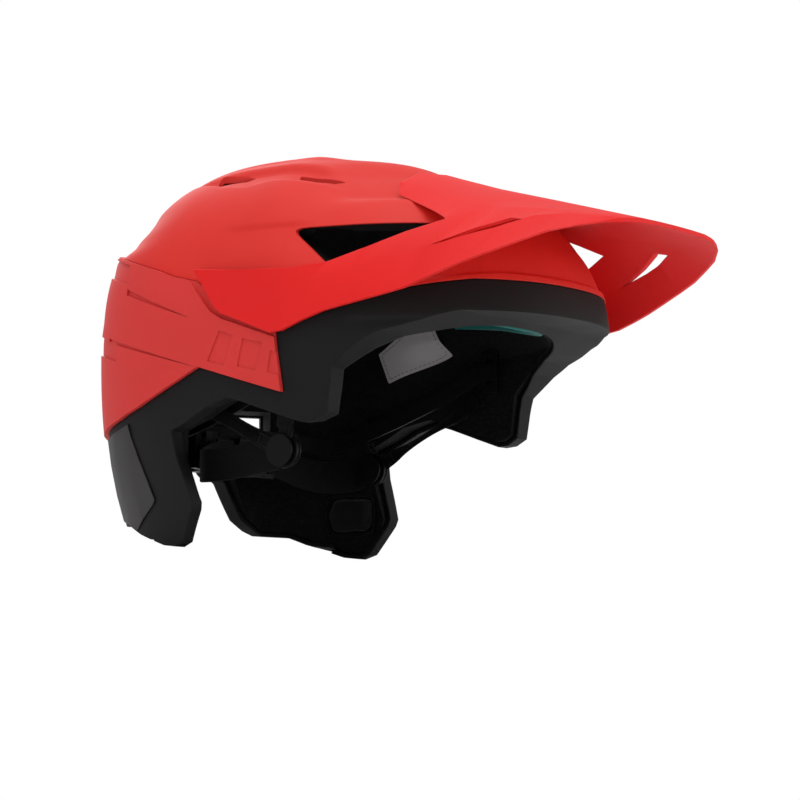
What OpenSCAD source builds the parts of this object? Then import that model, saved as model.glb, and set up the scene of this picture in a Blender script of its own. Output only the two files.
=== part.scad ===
// Open-face trail bike helmet with deep rear lobes and a tilting visor.
// Shared helmet frame, in mm: X to the wearer's left, Y to the back, Z up, zero at ear level.
// Every node is then lifted and moved back, so that the origin lies under the middle.

/* [Shell] */
// Half width of the outer shell at the ears
shell_half_w = 101.5; // [98:0.5:106]
// Reach of the shell ahead of its widest section
shell_front = 152; // [146:1:160]
// Reach of the shell behind its widest section
shell_rear = 122; // [116:0.5:128]
// Height of the crown above ear level
crown_h = 103.5; // [100:0.5:110]
// Depth of the rear lobes below ear level
lobe_depth = 111; // [107:0.5:114]
// How far back the widest section sits
widest_y = 11; // [6:1:16]
// Wall of the moulded outer shells
shell_wall = 2.2; // [1.6:0.1:2.8]
// How far the rear shell stands proud of the crown
rear_proud = 2; // [1:0.1:2.5]
// How deep the crown is drawn in above the rear shell
shoulder_draw = 4.5; // [2:0.1:6]
// Height of the raised band along the crown
ridge_rise = 2.4; // [1:0.1:4]
// How far the brow flares out above the face
brow_flare = 6; // [4:0.5:8]
// How deep the crown is drawn in under the visor
visor_recess = 4; // [2:0.5:5]
// Depth of the long channel that the top vents open into
channel_depth = 4; // [2:0.5:6]
// Parting gap between two shells
seam = 0.2; // [0.1:0.1:1]
// Width of the shell's turned-in rim
rim_turn = 2.4; // [2:0.1:4]

/* [Liner] */
// Liner and shell together at the sides, from the outer face to the head
liner_side = 24; // [22:0.5:27]
// Liner and shell together at the brow
liner_front = 38; // [35:1:41]
// Liner and shell together at the back
liner_rear = 25.5; // [23:0.5:28]
// Liner and shell together at the crown
liner_top = 27.5; // [24:0.5:31]
// How far the cavity opens out at the brow and temples
rim_flare = 11; // [8:0.5:13]
// How far the cavity opens out inside the lobes
lobe_flare = 7; // [4:0.5:8]
// Gap between the liner and the shells
liner_gap = 0.3; // [0.2:0.05:0.6]

/* [Padding] */
// Thickness of the brow and crown pads
pad_thick = 6; // [4:0.5:8]
// Thickness of the pads on the lobes
lobe_pad_thick = 8; // [5:0.5:9]
// Gap between soft pieces and what they rest on
soft_gap = 0.3; // [0.2:0.05:0.5]

/* [Visor] */
// Reach of the visor's tip ahead of the ears
visor_reach = 208; // [200:1:214]
// Wall of the visor
visor_wall = 2.4; // [1.8:0.1:3]
// Gap between the shell and a visor arm
arm_gap = 1; // [0.8:0.1:2]
// Back position of the visor pivot
pivot_y = -2; // [-6:0.5:2]
// Height of the visor pivot above ear level
pivot_z = 17; // [14:0.5:19]
// Radius of the visor pivot pins
pivot_r = 4; // [3:0.25:5]
// Radial clearance of the pivot pins
pivot_play = 0.06; // [0.02:0.01:0.1]
// Length of a pivot bush
bush_len = 9; // [7:0.5:11]

/* [Fit system] */
// Radius of the fit dial
dial_r = 17; // [15:0.5:18]
// Thickness of the fit dial
dial_t = 6; // [5:0.5:7]
// Height of the fit dial below ear level
dial_drop = 52; // [50:0.5:54]
// Back position of the cradle's inner face at the dial
cradle_y = 84; // [82:0.5:86]
// Pitch radius of the pinion
pinion_r = 5; // [4.5:0.1:5.5]
// Teeth on the pinion
pinion_teeth = 12; // [10:2:14]
// Height of a rack strip
rack_h = 5; // [4:0.5:6]
// Thickness of a rack strip
rack_t = 3; // [2.5:0.1:3.4]
// Travel of the cradle each way
cradle_travel = 6; // [4:0.5:7]

/* [Chin strap] */
// Width of the webbing
web_w = 18; // [15:0.5:20]
// Thickness of the webbing
web_t = 1.6; // [1.2:0.1:2]
// Length of the buckle frame
buckle_len = 30; // [26:1:34]
// Thickness of the buckle frame's base and walls
buckle_wall = 1.8; // [1.4:0.1:2.2]
// Depth of the buckle frame
buckle_t = 8; // [7:0.5:9]

/* [Hidden] */

shell_red = [0.87, 0.24, 0.22];
rear_red = [0.80, 0.23, 0.21];
plastic_black = [0.13, 0.13, 0.13];
panel_grey = [0.28, 0.26, 0.25];
foam_black = [0.09, 0.09, 0.10];
pad_black = [0.06, 0.06, 0.07];
trim_teal = [0.02, 0.36, 0.34];
label_grey = [0.43, 0.42, 0.42];
web_black = [0.05, 0.05, 0.05];

// Squareness of the plan at the front and back, and of the rise to the crown
front_square = 2.35;
rear_square = 3.0;
rise_square = 2.55;
front_rise_square = 2.05;
// How much the shell narrows down to the lobes, and how late
lobe_taper = 0.135;
lobe_curve = 2.5;
// Mesh of the moulded surfaces: columns round the head, rows up the dome and down the lobes
columns = 48;
dome_rows = 12;
lobe_rows = 7;
foam_columns = columns;
foam_dome_rows = dome_rows;
foam_lobe_rows = lobe_rows;
// How far the foam's flat facets are set back so that they never stand into the cavity
facet_margin = 0.25;
top_u = 0.9995;
bottom_u = -1.02;
// Head cavity: what the shell and liner leave
cavity_half_w = shell_half_w - liner_side;
cavity_front = shell_front - liner_front;
cavity_rear = shell_rear - liner_rear;
cavity_h = crown_h - liner_top;
// Longer than any outline carried through the helmet
far_out = 260;
fore_shift = (visor_reach - widest_y - shell_rear - rear_proud) / 2;

function smooth(lo, hi, v) = let (t = min(1, max(0, (v - lo) / (hi - lo)))) t * t * (3 - 2 * t);
function off_front(ang) = abs(ang > 180 ? ang - 360 : ang);

// Share of the full plan left at a height: squarer at the sides and back than over the brow
function rise(u, ang = 180) =
    let (e = front_rise_square + (rise_square - front_rise_square) * smooth(35, 85, off_front(ang)))
    u > 0 ? pow(1 - pow(min(u, 1), e), 1 / e) : 1 - lobe_taper * pow(-u, lobe_curve);

// Plan radius at an angle from straight ahead, for a half width and the reach on that side
function plan_radius(ang, half, reach, square) =
    pow(pow(abs(sin(ang)) / half, square) + pow(abs(cos(ang)) / reach, square), -1 / square);

// Distance from the middle plane before any relief
function plain_x(ang, u) =
    let (front = cos(ang) > 0)
    plan_radius(ang, shell_half_w, front ? shell_front : shell_rear, front ? front_square : rear_square)
        * rise(u, ang) * abs(sin(ang));

// Raised band over the crown, channel beside it, drawn-in shoulder above the rear shell, flared brow
// and the recess that the visor lies in, outward positive
function relief(ang, u) =
    let (wide = rise(u) * shell_half_w * abs(sin(ang)), off = off_front(ang), x = plain_x(ang, u))
    ridge_rise * (1 - smooth(26, 40, wide)) * smooth(0.55, 0.8, u) * smooth(20, 70, off)
    - channel_depth * smooth(50, 62, x) * (1 - smooth(66, 74, x)) * smooth(0.6, 0.76, u)
        * smooth(45, 62, off) * (1 - smooth(125, 150, off))
    - shoulder_draw * smooth(115, 150, off) * smooth(0.40, 0.50, u) * (1 - smooth(0.62, 0.95, u))
    + brow_flare * (1 - smooth(45, 80, off)) * smooth(-0.3, -0.02, u) * (1 - smooth(0.2, 0.45, u))
    - visor_recess * (1 - smooth(40, 60, off)) * smooth(0.62, 0.72, u) * (1 - smooth(0.84, 0.94, u));

// A point on the shell, at a depth below its outer face; u runs from the lobes (-1) to the crown (1)
function shell_point(ang, u, depth) =
    let (
        d = depth - relief(ang, u),
        front = cos(ang) > 0,
        r = plan_radius(ang, shell_half_w - d, (front ? shell_front : shell_rear) - d,
            front ? front_square : rear_square) * rise(u, ang),
        z = u > 0 ? u * (crown_h - d) : u * lobe_depth
    )
    [r * sin(ang), widest_y - r * cos(ang), z];

// A point on the head cavity, grown outwards by a margin; it opens out at the brow and in the lobes
function cavity_point(ang, u, grow) =
    let (
        off = off_front(ang),
        g = grow + rim_flare * (1 - smooth(0, 0.18, u)) * (1 - smooth(75, 100, off))
            + lobe_flare * smooth(95, 115, off) * smooth(0.25, 0.6, -u),
        front = cos(ang) > 0,
        r = plan_radius(ang, cavity_half_w + g, (front ? cavity_front : cavity_rear) + g,
            front ? front_square : rear_square) * (u > 0 ? rise(u) : 1),
        z = u > 0 ? u * (cavity_h + grow) : u * lobe_depth
    )
    [r * sin(ang), widest_y - r * cos(ang), z];

// Angle from straight ahead, and then half width, where the shell or cavity crosses a side-view place
function shell_angle(y, u, depth, lo = 0, hi = 180, halvings = 22) =
    let (mid = (lo + hi) / 2)
    halvings == 0 ? mid
    : shell_point(mid, u, depth)[1] < y ? shell_angle(y, u, depth, mid, hi, halvings - 1)
    : shell_angle(y, u, depth, lo, mid, halvings - 1);
function shell_x(y, z, depth = 0) =
    let (u = z > 0 ? z / (crown_h - depth) : z / lobe_depth)
    shell_point(shell_angle(y, u, depth), u, depth)[0];
function cavity_angle(y, u, grow, lo = 0, hi = 180, halvings = 22) =
    let (mid = (lo + hi) / 2)
    halvings == 0 ? mid
    : cavity_point(mid, u, grow)[1] < y ? cavity_angle(y, u, grow, mid, hi, halvings - 1)
    : cavity_angle(y, u, grow, lo, mid, halvings - 1);
function cavity_x(y, z, grow = 0) =
    let (u = z > 0 ? z / (cavity_h + grow) : z / lobe_depth)
    cavity_point(cavity_angle(y, u, grow), u, grow)[0];

function row_steps(low, high) = concat([for (i = [0:low]) bottom_u * (1 - i / low)],
    [for (i = [1:high]) top_u * sin(90 * i / high)]);
function ring_steps(n) = [for (i = [0:n - 1]) 360 * i / n - 180];
row_us = row_steps(lobe_rows, dome_rows);
ring_angles = ring_steps(columns);
foam_us = row_steps(foam_lobe_rows, foam_dome_rows);
foam_angles = ring_steps(foam_columns);

// Side-view outlines, as [y, z] points

// Edge of the shell from the brow past the temple and the ear to the back of the lobes
rim_edge = [[-150, 5], [-121, 4.5], [-96, -3], [-84, -6], [-72, -12], [-58, -23], [-54.5, -46],
    [-47, -49.5], [-39, -50], [-24, -45], [-4, -38], [6, -35], [20, -39], [33, -45.5], [46, -50.5],
    [43.5, -64], [35, -88], [36, -92], [43, -103.5], [46, 2.5 - lobe_depth], [53, -lobe_depth],
    [62, 1 - lobe_depth], [82, -103.4], [94, -98], [111, -97], [121, -91], [131, -76], [150, -66]];
// Line between red and black: brow, step behind the temple, and down to the back
colour_edge = [[-170, 22], [-125, 21], [-105, 17.5], [-81, 12.3], [-68, 8.6], [-50, 4], [-27, -3],
    [-30, -34.5], [24, -18], [37.4, -23.7], [52.2, -29.8], [68.4, -36], [87.6, -41.6], [97.5, -43.6],
    [150, -54]];
// Top edge of the rear shell, carried forward under the visor arm
shoulder_edge = [[175, 73], [110, 53.5], [80, 44.2], [56, 36.9], [44, 32.4], [27.6, 28.4], [10, 18],
    [-27, -3]];
side_vent = [[-27, 52.6], [-105, 52], [-57, 29.5]];
// Rear-view outline of the gap between the lobes, as [x, z] points for one half
lobe_gap_half = [[0, -60], [28, -61], [34.5, -67], [42, -88], [52, -97], [76, -104], [95, -111]];

// Solid between an outer and an inner set of rings, closed over the crown and round the bottom
module closed_layer(outer, inner) {
    rows = len(outer);
    n = len(outer[0]);
    top_o = rows * n * 2;
    points = concat([for (r = outer, p = r) p], [for (r = inner, p = r) p],
        [[0, widest_y, outer[rows - 1][0][2] + 0.05], [0, widest_y, inner[rows - 1][0][2] + 0.05]]);
    faces = concat(
        [for (i = [0:rows - 2], j = [0:n - 1]) let (a = i * n + j, b = i * n + (j + 1) % n)
            each [[a, a + n, b], [b, a + n, b + n]]],
        [for (i = [rows:2 * rows - 2], j = [0:n - 1]) let (a = i * n + j, b = i * n + (j + 1) % n)
            each [[a, b, a + n], [b, b + n, a + n]]],
        [for (j = [0:n - 1]) let (a = j, b = (j + 1) % n, c = rows * n + j, d = rows * n + (j + 1) % n)
            each [[a, b, c], [b, d, c]]],
        [for (j = [0:n - 1]) [(rows - 1) * n + j, top_o, (rows - 1) * n + (j + 1) % n]],
        [for (j = [0:n - 1]) [(2 * rows - 1) * n + j, (2 * rows - 1) * n + (j + 1) % n, top_o + 1]]);
    polyhedron(points, faces);
}

module shell_layer(outer_depth, inner_depth) {
    closed_layer([for (u = row_us) [for (a = ring_angles) shell_point(a, u, outer_depth)]],
        [for (u = row_us) [for (a = ring_angles) shell_point(a, u, inner_depth)]]);
}

module deep_layer(outer_depth, grow = 0) {
    closed_layer([for (u = foam_us) [for (a = foam_angles) shell_point(a, u, outer_depth)]],
        [for (u = foam_us) [for (a = foam_angles) cavity_point(a, u, grow + facet_margin)]]);
}

// A side-view outline carried through the helmet, and a rear-view one carried back from the middle
module through_x() {
    rotate([90, 0, 90]) linear_extrude(2 * far_out, center = true) children();
}
module through_back() {
    translate([0, far_out + 70, 0]) rotate([90, 0, 0]) linear_extrude(far_out) children();
}
module through_z() {
    linear_extrude(2 * far_out, center = true) children();
}

module below_rim() {
    polygon(concat(rim_edge, [[far_out, -66], [far_out, -far_out], [-far_out, -far_out], [-far_out, 5]]));
}
module lobe_gap() {
    mirrored = [for (i = [len(lobe_gap_half) - 1:-1:1]) [-lobe_gap_half[i][0], lobe_gap_half[i][1]]];
    polygon(concat([[-95, -far_out]], mirrored, lobe_gap_half, [[95, -far_out]]));
}
module above_colour() {
    polygon(concat(colour_edge, [[far_out, -54], [far_out, far_out], [-far_out, far_out], [-far_out, 22]]));
}
module behind_shoulder() {
    polygon(concat(shoulder_edge, [[-30, -34.5], [-30, -far_out], [far_out, -far_out], [far_out, 73]]));
}

// What is left of a layer above the rim and outside the gap between the lobes
module trimmed(inset) {
    difference() {
        children();
        through_x() offset(delta = inset) below_rim();
        through_back() offset(delta = inset) lobe_gap();
    }
}

// Plan outlines of the vents in the floor of the channel
front_vent = [[58, -40], [59, -8], [66, -10], [65, -36]];
rear_vent = [[57, 22], [53, 52], [60, 55], [65, 24]];
vent_round = 2;
module top_vents(grow) {
    for (side = [0, 1], outline = [front_vent, rear_vent]) mirror([side, 0, 0])
        through_z() offset(r = vent_round + grow, $fn = 16) polygon(outline);
}
module vent_cuts(grow) {
    through_x() offset(r = 1 + grow, $fn = 16) offset(delta = -1) polygon(side_vent);
    intersection() {
        top_vents(grow);
        translate([-far_out / 2, -far_out / 2, 30]) cube([far_out, far_out, far_out]);
    }
}
module crown_shell() color(shell_red) in_place() {
    difference() {
        shell_layer(0, shell_wall);
        through_x() offset(delta = seam / 2) below_colour();
        through_x() offset(delta = seam / 2) behind_shoulder();
        vent_cuts(0);
        bush_seats(0.2);
    }
}
module below_colour() {
    sides = [[far_out, -54], [far_out, -far_out], [-far_out, -far_out], [-far_out, 22]];
    polygon(concat(colour_edge, sides));
}

module rear_shell() color(rear_red) in_place() {
    trimmed(0) difference() {
        intersection() {
            shell_layer(-rear_proud, shell_wall);
            through_x() offset(delta = -seam / 2) intersection() {
                behind_shoulder();
                above_colour();
            }
        }
        side_recesses(port_depth, ports);
        side_recesses(bar_depth, bars);
        for (z = port_heights) translate([0, 60, z]) rotate([-90, 0, 0]) linear_extrude(far_out)
            offset(r = 2, $fn = 16) square([2 * port_half_w, 3], center = true);
        rear_window(0);
        arm_recess();
        bush_seats(0.2);
    }
}

// Flat recess that the end of each visor arm swings in
arm_sweep = [[-45, -8], [-28, -6], [8, 6.5], [16, 11], [31.5, 29], [32, 42], [-45, 42]];
module arm_recess() {
    for (side = [-1, 1]) intersection() {
        through_x() polygon(arm_sweep);
        translate([side * (shell_half_w - 0.4 + 5), 0, 0]) cube([10, far_out, far_out], center = true);
    }
}

// Exhaust ports: a shallow recess round the back, with a slot through the middle of each and a
// tapering groove that leads forward from it; ahead of them, three plain slanted bars
port_half_w = 44;
port_heights = [46, 6];
port_depth = 1.1;
ports = [[[79.5, 31.5], [81, 42.5], [110, 51.5], [150, 62], [150, 49], [110, 40]],
    [[89, -10], [90, 0], [110, 6.5], [150, 16], [150, 3], [110, -4]],
    [[80, 29], [80, 25.5], [29, 8.3]],
    [[97, 3.9], [97, 1.5], [24.7, -18.1]]];
bar_depth = 0.7;
bars = [[[9, 0.3], [-0.4, -3], [6.2, -18.3], [17.1, -15.5]],
    [[-6.4, -5], [-19.8, -8], [-14.6, -22.3], [-3, -19.5]],
    [[-24.7, -12.5], [-28.9, -13.8], [-29.4, -25.3], [-22.1, -23.8]]];
module side_recesses(depth, outlines) {
    intersection() {
        shell_layer(-rear_proud - 2, depth - rear_proud);
        union() for (outline = outlines) through_x() polygon(outline);
    }
}

// Window in the middle of the back, above the fit dial, as a plan outline for one half
window_z = [-42, -26];
window_half = [[50, 90], [50, 97], [71, 122], [71, far_out]];
module rear_window(grow) {
    mirrored = [for (i = [len(window_half) - 1:-1:0]) [-window_half[i][0], window_half[i][1]]];
    translate([0, 0, window_z[0] - grow]) linear_extrude(window_z[1] - window_z[0] + 2 * grow)
        offset(delta = grow) polygon(concat(window_half, mirrored));
}

module lower_shell() color(plastic_black) in_place() {
    difference() {
        union() {
            trimmed(0) shell_layer(0.5, shell_wall + 0.5);
            intersection() {
                trimmed(0) deep_layer(shell_wall - 0.3, 1);
                union() {
                    through_x() offset(delta = rim_turn) below_rim();
                    through_back() offset(delta = rim_turn) lobe_gap();
                }
            }
        }
        through_x() offset(delta = seam / 2) above_colour();
        panel_seat(0.3);
    }
}

// Rear guard panel let into the outer face of a lobe
panel_outline = [[80.7, -44.5], [78.4, -51.5], [66, -78], [62.8, -86], [65, -88.5], [84, -101],
    [112, -92], [150, -66], [150, -57.5], [97, -48]];
module beside_gap(edge) {
    difference() {
        translate([-far_out, 20, -far_out]) cube([2 * far_out, far_out, 2 * far_out]);
        through_back() offset(delta = edge) lobe_gap();
    }
}
module panel_seat(grow) {
    intersection() {
        shell_layer(-4, 1.6 + grow);
        through_x() offset(delta = grow) polygon(panel_outline);
        beside_gap(4 - grow);
    }
}
module lobe_panel() {
    intersection() {
        trimmed(0.5) shell_layer(-0.6, 1.5);
        through_x() polygon(panel_outline);
        beside_gap(4);
        translate([0, 20, -far_out]) cube(far_out);
    }
}
module lobe_panel_left() color(panel_grey) in_place() lobe_panel();
module lobe_panel_right() color(panel_grey) in_place() mirror([1, 0, 0]) lobe_panel();

// Foam: the main liner down to the ear line, and one block in each lobe
lobe_split = [[16, -33], [60, -42], [112, -52], [118, -far_out], [16, -far_out]];
liner_depth = shell_wall + 0.5 + liner_gap;
module foam_body() {
    difference() {
        trimmed(rim_turn + liner_gap) deep_layer(liner_depth, 0);
        vent_cuts(2);
        bush_seats(0.3);
        anchor_holes(strap_hole_r);
        rail_seat(0.3);
        rear_window(1);
    }
}
module foam_liner() color(foam_black) in_place() difference() {
    foam_body();
    through_x() polygon(lobe_split);
}
module foam_lobe() intersection() {
    foam_body();
    through_x() offset(delta = -0.3) polygon(lobe_split);
    translate([0, -far_out, -far_out]) cube([far_out, 2 * far_out, 2 * far_out]);
}
module foam_lobe_left() color(foam_black) in_place() foam_lobe();
module foam_lobe_right() color(foam_black) in_place() mirror([1, 0, 0]) foam_lobe();

// How far the flat facets of the cavity wall stand inside its true curve
facet_sag = 0.3;
// Where a flat piece with these half sizes clears the cavity's side wall
function wall_x(place, half_y, half_z) =
    min([for (y = [-half_y, 0, half_y], z = [-half_z, 0, half_z]) cavity_x(place[0] + y, place[1] + z)]);

// A crowned pad on the cavity wall; its edge is drawn in at the corners and it may carry a channel
module wall_pad(ang_lo, ang_hi, u_lo, u_hi, thick, channel = 0.5, steps = 10, rows = 5) {
    function place(i, j) = [2 * i / steps - 1, 2 * j / rows - 1];
    function swell(s) = pow(max(0, 1 - pow(abs(s[0]), 4)) * max(0, 1 - pow(abs(s[1]), 4)), 0.5)
        * (1 - channel * exp(-pow(s[0] / 0.09, 2)));
    function drawn(s) = [s[0] * (1 - 0.10 * pow(s[1], 2)), s[1] * (1 - 0.12 * pow(s[0], 2))];
    function at(s, grow) = let (d = drawn(s))
        cavity_point(ang_lo + (ang_hi - ang_lo) * (d[0] + 1) / 2,
            u_lo + (u_hi - u_lo) * (d[1] + 1) / 2, grow);
    cols = steps + 1;
    count = cols * (rows + 1);
    back = [for (j = [0:rows], i = [0:steps]) at(place(i, j), -soft_gap - facet_sag)];
    face = [for (j = [0:rows], i = [0:steps]) let (s = place(i, j))
        at(s, -soft_gap - facet_sag - 1.2 - (thick - 1.2) * swell(s))];
    edge = concat([for (i = [0:steps]) i], [for (j = [1:rows]) j * cols + steps],
        [for (i = [steps - 1:-1:0]) rows * cols + i], [for (j = [rows - 1:-1:1]) j * cols]);
    faces = concat(
        [for (j = [0:rows - 1], i = [0:steps - 1]) let (a = j * cols + i)
            each [[a, a + 1, a + cols], [a + 1, a + cols + 1, a + cols]]],
        [for (j = [0:rows - 1], i = [0:steps - 1]) let (a = count + j * cols + i)
            each [[a, a + cols, a + 1], [a + 1, a + cols, a + cols + 1]]],
        [for (k = [0:len(edge) - 1]) let (a = edge[k], b = edge[(k + 1) % len(edge)])
            each [[a, a + count, b], [b, a + count, b + count]]]);
    polyhedron(concat(back, face), faces);
}

module brow_pad() color(pad_black) in_place() wall_pad(-38, 38, 0.24, 0.46, pad_thick, 0.6, 16, 5);
module crown_pad() color(pad_black) in_place() {
    wall_pad(164, 196, 0.62, 0.92, pad_thick, 0.5);
    wall_pad(-24, 24, 0.64, 0.90, pad_thick, 0.5);
}
module side_pad_left() color(pad_black) in_place() wall_pad(64, 104, 0.32, 0.58, pad_thick, 0.5);
module side_pad_right() color(pad_black) in_place() wall_pad(-104, -64, 0.32, 0.58, pad_thick, 0.5);
module lobe_pad_left() color(pad_black) in_place()
    wall_pad(112, 130, -0.88, -0.66, lobe_pad_thick, 0, 8, 6);
module lobe_pad_right() color(pad_black) in_place()
    wall_pad(-130, -112, -0.88, -0.66, lobe_pad_thick, 0, 8, 6);

// Strip of elastic trim along the inner brow edge, and elastic discs between liner and pads
module brow_trim() color(trim_teal) in_place()
    wall_pad(-55, 55, 0.105, 0.20, 2.4, 0, 24, 2);
disc_places = [[78, 0.68], [-78, 0.68], [122, 0.57], [-122, 0.57], [180, 0.45]];
module damping_discs() color(trim_teal) in_place()
    for (d = disc_places) wall_pad(d[0] - 6, d[0] + 6, d[1] - 0.07, d[1] + 0.07, 3.4, 0, 4, 4);

// Visor: sections across the helmet, lofted from the tip to behind the pivots.
// Half-section corners at each station: ridge, panel edge, arm top, crease and lower edge.
// Widths of the arm top, crease and lower edge are how far they lie inside the arm's outer face.
arm_face_x = shell_half_w + arm_gap + visor_wall;
ridge_line = [[-208, 48.5], [-190, 54], [-165, 61], [-140, 68], [-120, 73.5], [-100, 79], [-75, 87],
    [-60, 92]];
panel_w = [[-208, 30], [-200, 40], [-170, 52], [-140, 58], [-120, 57], [-100, 55], [-75, 51], [-60, 48]];
panel_line = [[-208, 48], [-200, 49.5], [-170, 54], [-140, 58], [-120, 63], [-100, 68.5], [-75, 77],
    [-60, 82]];
top_inset = [[-208, 66], [-200, 57], [-170, 47], [-140, 43.5], [-120, 28], [-100, 18], [-80, 11], [-57, 6.6],
    [-34, 3.5], [0, 0.8], [30, 0.5]];
top_line = [[-208, 47], [-200, 48], [-170, 52.5], [-140, 57], [-120, 51], [-100, 44.5], [-80, 37.5],
    [-57, 31], [-34, 30], [0, 31.5], [30, 34]];
crease_inset = [[-208, 64], [-200, 52], [-172, 38], [-165, 33], [-142, 21], [-120, 12], [-100, 6.5],
    [-75, 3.4], [-50, 2], [-25, 1], [0, 0.4], [30, 0.4]];
crease_line = [[-208, 46.6], [-200, 46.6], [-172, 50], [-165, 47.5], [-142, 42.5], [-120, 35.5], [-100, 29],
    [-75, 24], [-50, 20], [-25, 18], [0, 19], [30, 22]];
edge_inset = [[-208, 57], [-200, 47], [-188, 31], [-182, 26], [-166, 16], [-142, 7], [-126, 3], [-109, 1.2],
    [-75, 0.6], [-33, 0.2], [30, 0]];
edge_line = [[-208, 45.5], [-200, 43.5], [-188, 40], [-182, 38.5], [-166, 32], [-142, 24], [-126, 18],
    [-109, 12.5], [-75, 7.5], [-55, 4.5], [-33, -3], [-25, -3.5], [8, 9.5], [30, 13]];
visor_stations = [-208, -200, -190, -180, -168, -155, -140, -130, -120, -110, -100, -88, -75, -60, -45, -33,
    -25, -10, 4, 16, 30];
// Plan outline of the front edge, and side outlines of the notch over each arm and behind each arm's end
front_outline = [[0, -208], [30, -207.5], [44, -205], [57, -200], [74, -188], [80, -182], [89, -166],
    [98, -142], [102, -126], [108, -110], [125, -100], [125, 60], [0, 60]];
arm_notch = [[-118, 50.5], [-107, 56], [-75, 70], [-71, 76], [-64, 92], [-60, 130], [60, 130], [60, 35],
    [26, 34.2], [0, 31.6], [-34, 30.1], [-57, 31.2], [-80, 37.7], [-100, 44.7]];
arm_end = [[26, 36], [25.5, 33], [12, 13], [8, 9.5], [7, -30], [60, -30], [60, 36]];
side_slot = [[-119, 34.5], [-154, 48], [-162, 46.5], [-150, 42.3]];
// The free part of the visor stretches with its reach; the part along the shell doesn't
drawn_reach = 208;
stretch_from = 110;
function stretched(y) = y < -stretch_from
    ? -stretch_from + (y + stretch_from) * (visor_reach - stretch_from) / (drawn_reach - stretch_from) : y;
// What stands above the arms goes up and down with the crown
drawn_crown = 103.5;
lift_from = 35;
function lifted(z) = z > lift_from
    ? lift_from + (z - lift_from) * (crown_h - lift_from) / (drawn_crown - lift_from) : z;
function stretch_yz(points) = [for (p = points) [stretched(p[0]), lifted(p[1])]];
function stretch_xy(points) = [for (p = points) [p[0], stretched(p[1])]];

function visor_corners(y) = [
    [0, lifted(lookup(y, ridge_line))],
    [lookup(y, panel_w) * 0.55, lifted(lookup(y, ridge_line) * 0.75 + lookup(y, panel_line) * 0.25)],
    [lookup(y, panel_w), lifted(lookup(y, panel_line))],
    [arm_face_x - lookup(y, top_inset), lifted(lookup(y, top_line))],
    [arm_face_x - lookup(y, crease_inset), lifted(lookup(y, crease_line))],
    [arm_face_x - lookup(y, edge_inset), lifted(lookup(y, edge_line))]];
// Inward shift of each corner through the wall, as [x, z] shares of it
free_shift = [[0, -1], [-0.1, -1], [-0.3, -0.95], [-0.3, -0.95], [-0.8, -0.7], [-1, 0]];
arm_shift = [[0, -1], [-0.1, -1], [-0.3, -0.95], [-1, 0], [-1, 0], [-1, 0]];

module visor_skin() {
    half = [for (y = visor_stations) visor_corners(y)];
    n = 11;
    m = len(visor_stations);
    function mirrored(s) = concat([for (i = [5:-1:1]) [-s[i][0], s[i][1]]], s);
    function inner(s, y) = let (t = smooth(-130, -95, y))
        [for (i = [0:5]) s[i] + visor_wall * (free_shift[i] * (1 - t) + arm_shift[i] * t)];
    points = concat(
        [for (k = [0:m - 1], p = mirrored(half[k])) [p[0], stretched(visor_stations[k]), p[1]]],
        [for (k = [0:m - 1], p = mirrored(inner(half[k], visor_stations[k])))
            [p[0], stretched(visor_stations[k]), p[1]]]);
    in0 = n * m;
    faces = concat(
        [for (k = [0:m - 2], i = [0:n - 2]) let (a = k * n + i)
            each [[a, a + n, a + 1], [a + 1, a + n, a + n + 1]]],
        [for (k = [0:m - 2], i = [0:n - 2]) let (a = in0 + k * n + i)
            each [[a, a + 1, a + n], [a + 1, a + n + 1, a + n]]],
        [for (i = [0:n - 2]) each [[i, i + 1, in0 + i], [i + 1, in0 + i + 1, in0 + i]]],
        [for (i = [0:n - 2]) let (a = (m - 1) * n + i)
            each [[a, in0 + a, a + 1], [a + 1, in0 + a, in0 + a + 1]]],
        [for (k = [0:m - 2]) let (a = k * n) each [[a, in0 + a, a + n], [a + n, in0 + a, in0 + a + n]]],
        [for (k = [0:m - 2]) let (a = k * n + n - 1)
            each [[a, a + n, in0 + a], [a + n, in0 + a + n, in0 + a]]]);
    polyhedron(points, faces);
}

module visor() color(shell_red) in_place() {
    mirrored_front = [for (i = [len(front_outline) - 2:-1:1]) [-front_outline[i][0], front_outline[i][1]]];
    difference() {
        intersection() {
            visor_skin();
            through_z() polygon(stretch_xy(concat(front_outline, mirrored_front)));
        }
        through_x() polygon(stretch_yz(arm_notch));
        through_x() polygon(arm_end);
        through_x() polygon(stretch_yz(side_slot));
    }
    pin_len = visor_wall / 2 + arm_gap + bush_len - 1;
    for (side = [-1, 1]) translate([side * (arm_face_x - visor_wall / 2), pivot_y, pivot_z])
        rotate([0, -side * 90, 0]) cylinder(r = pivot_r, h = pin_len, $fn = 36);
}

// Bushes in the shell and liner that the visor's pins turn in
bush_wall = 3.5;
bush_out_x = shell_half_w - 0.9;
module bush_seats(grow) {
    for (side = [-1, 1]) translate([side * (bush_out_x - bush_len - 1), pivot_y, pivot_z])
        rotate([0, side * 90, 0]) cylinder(r = pivot_r + bush_wall + grow, h = bush_len + 12, $fn = 36);
}
module pivot_bush() translate([bush_out_x - bush_len, pivot_y, pivot_z]) rotate([0, 90, 0])
    difference() {
        cylinder(r = pivot_r + bush_wall, h = bush_len, $fn = 36);
        translate([0, 0, -1]) cylinder(r = pivot_r + pivot_play, h = bush_len + 2, $fn = 36);
    }
module pivot_bush_left() color(plastic_black) in_place() pivot_bush();
module pivot_bush_right() color(plastic_black) in_place() mirror([1, 0, 0]) pivot_bush();

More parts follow.
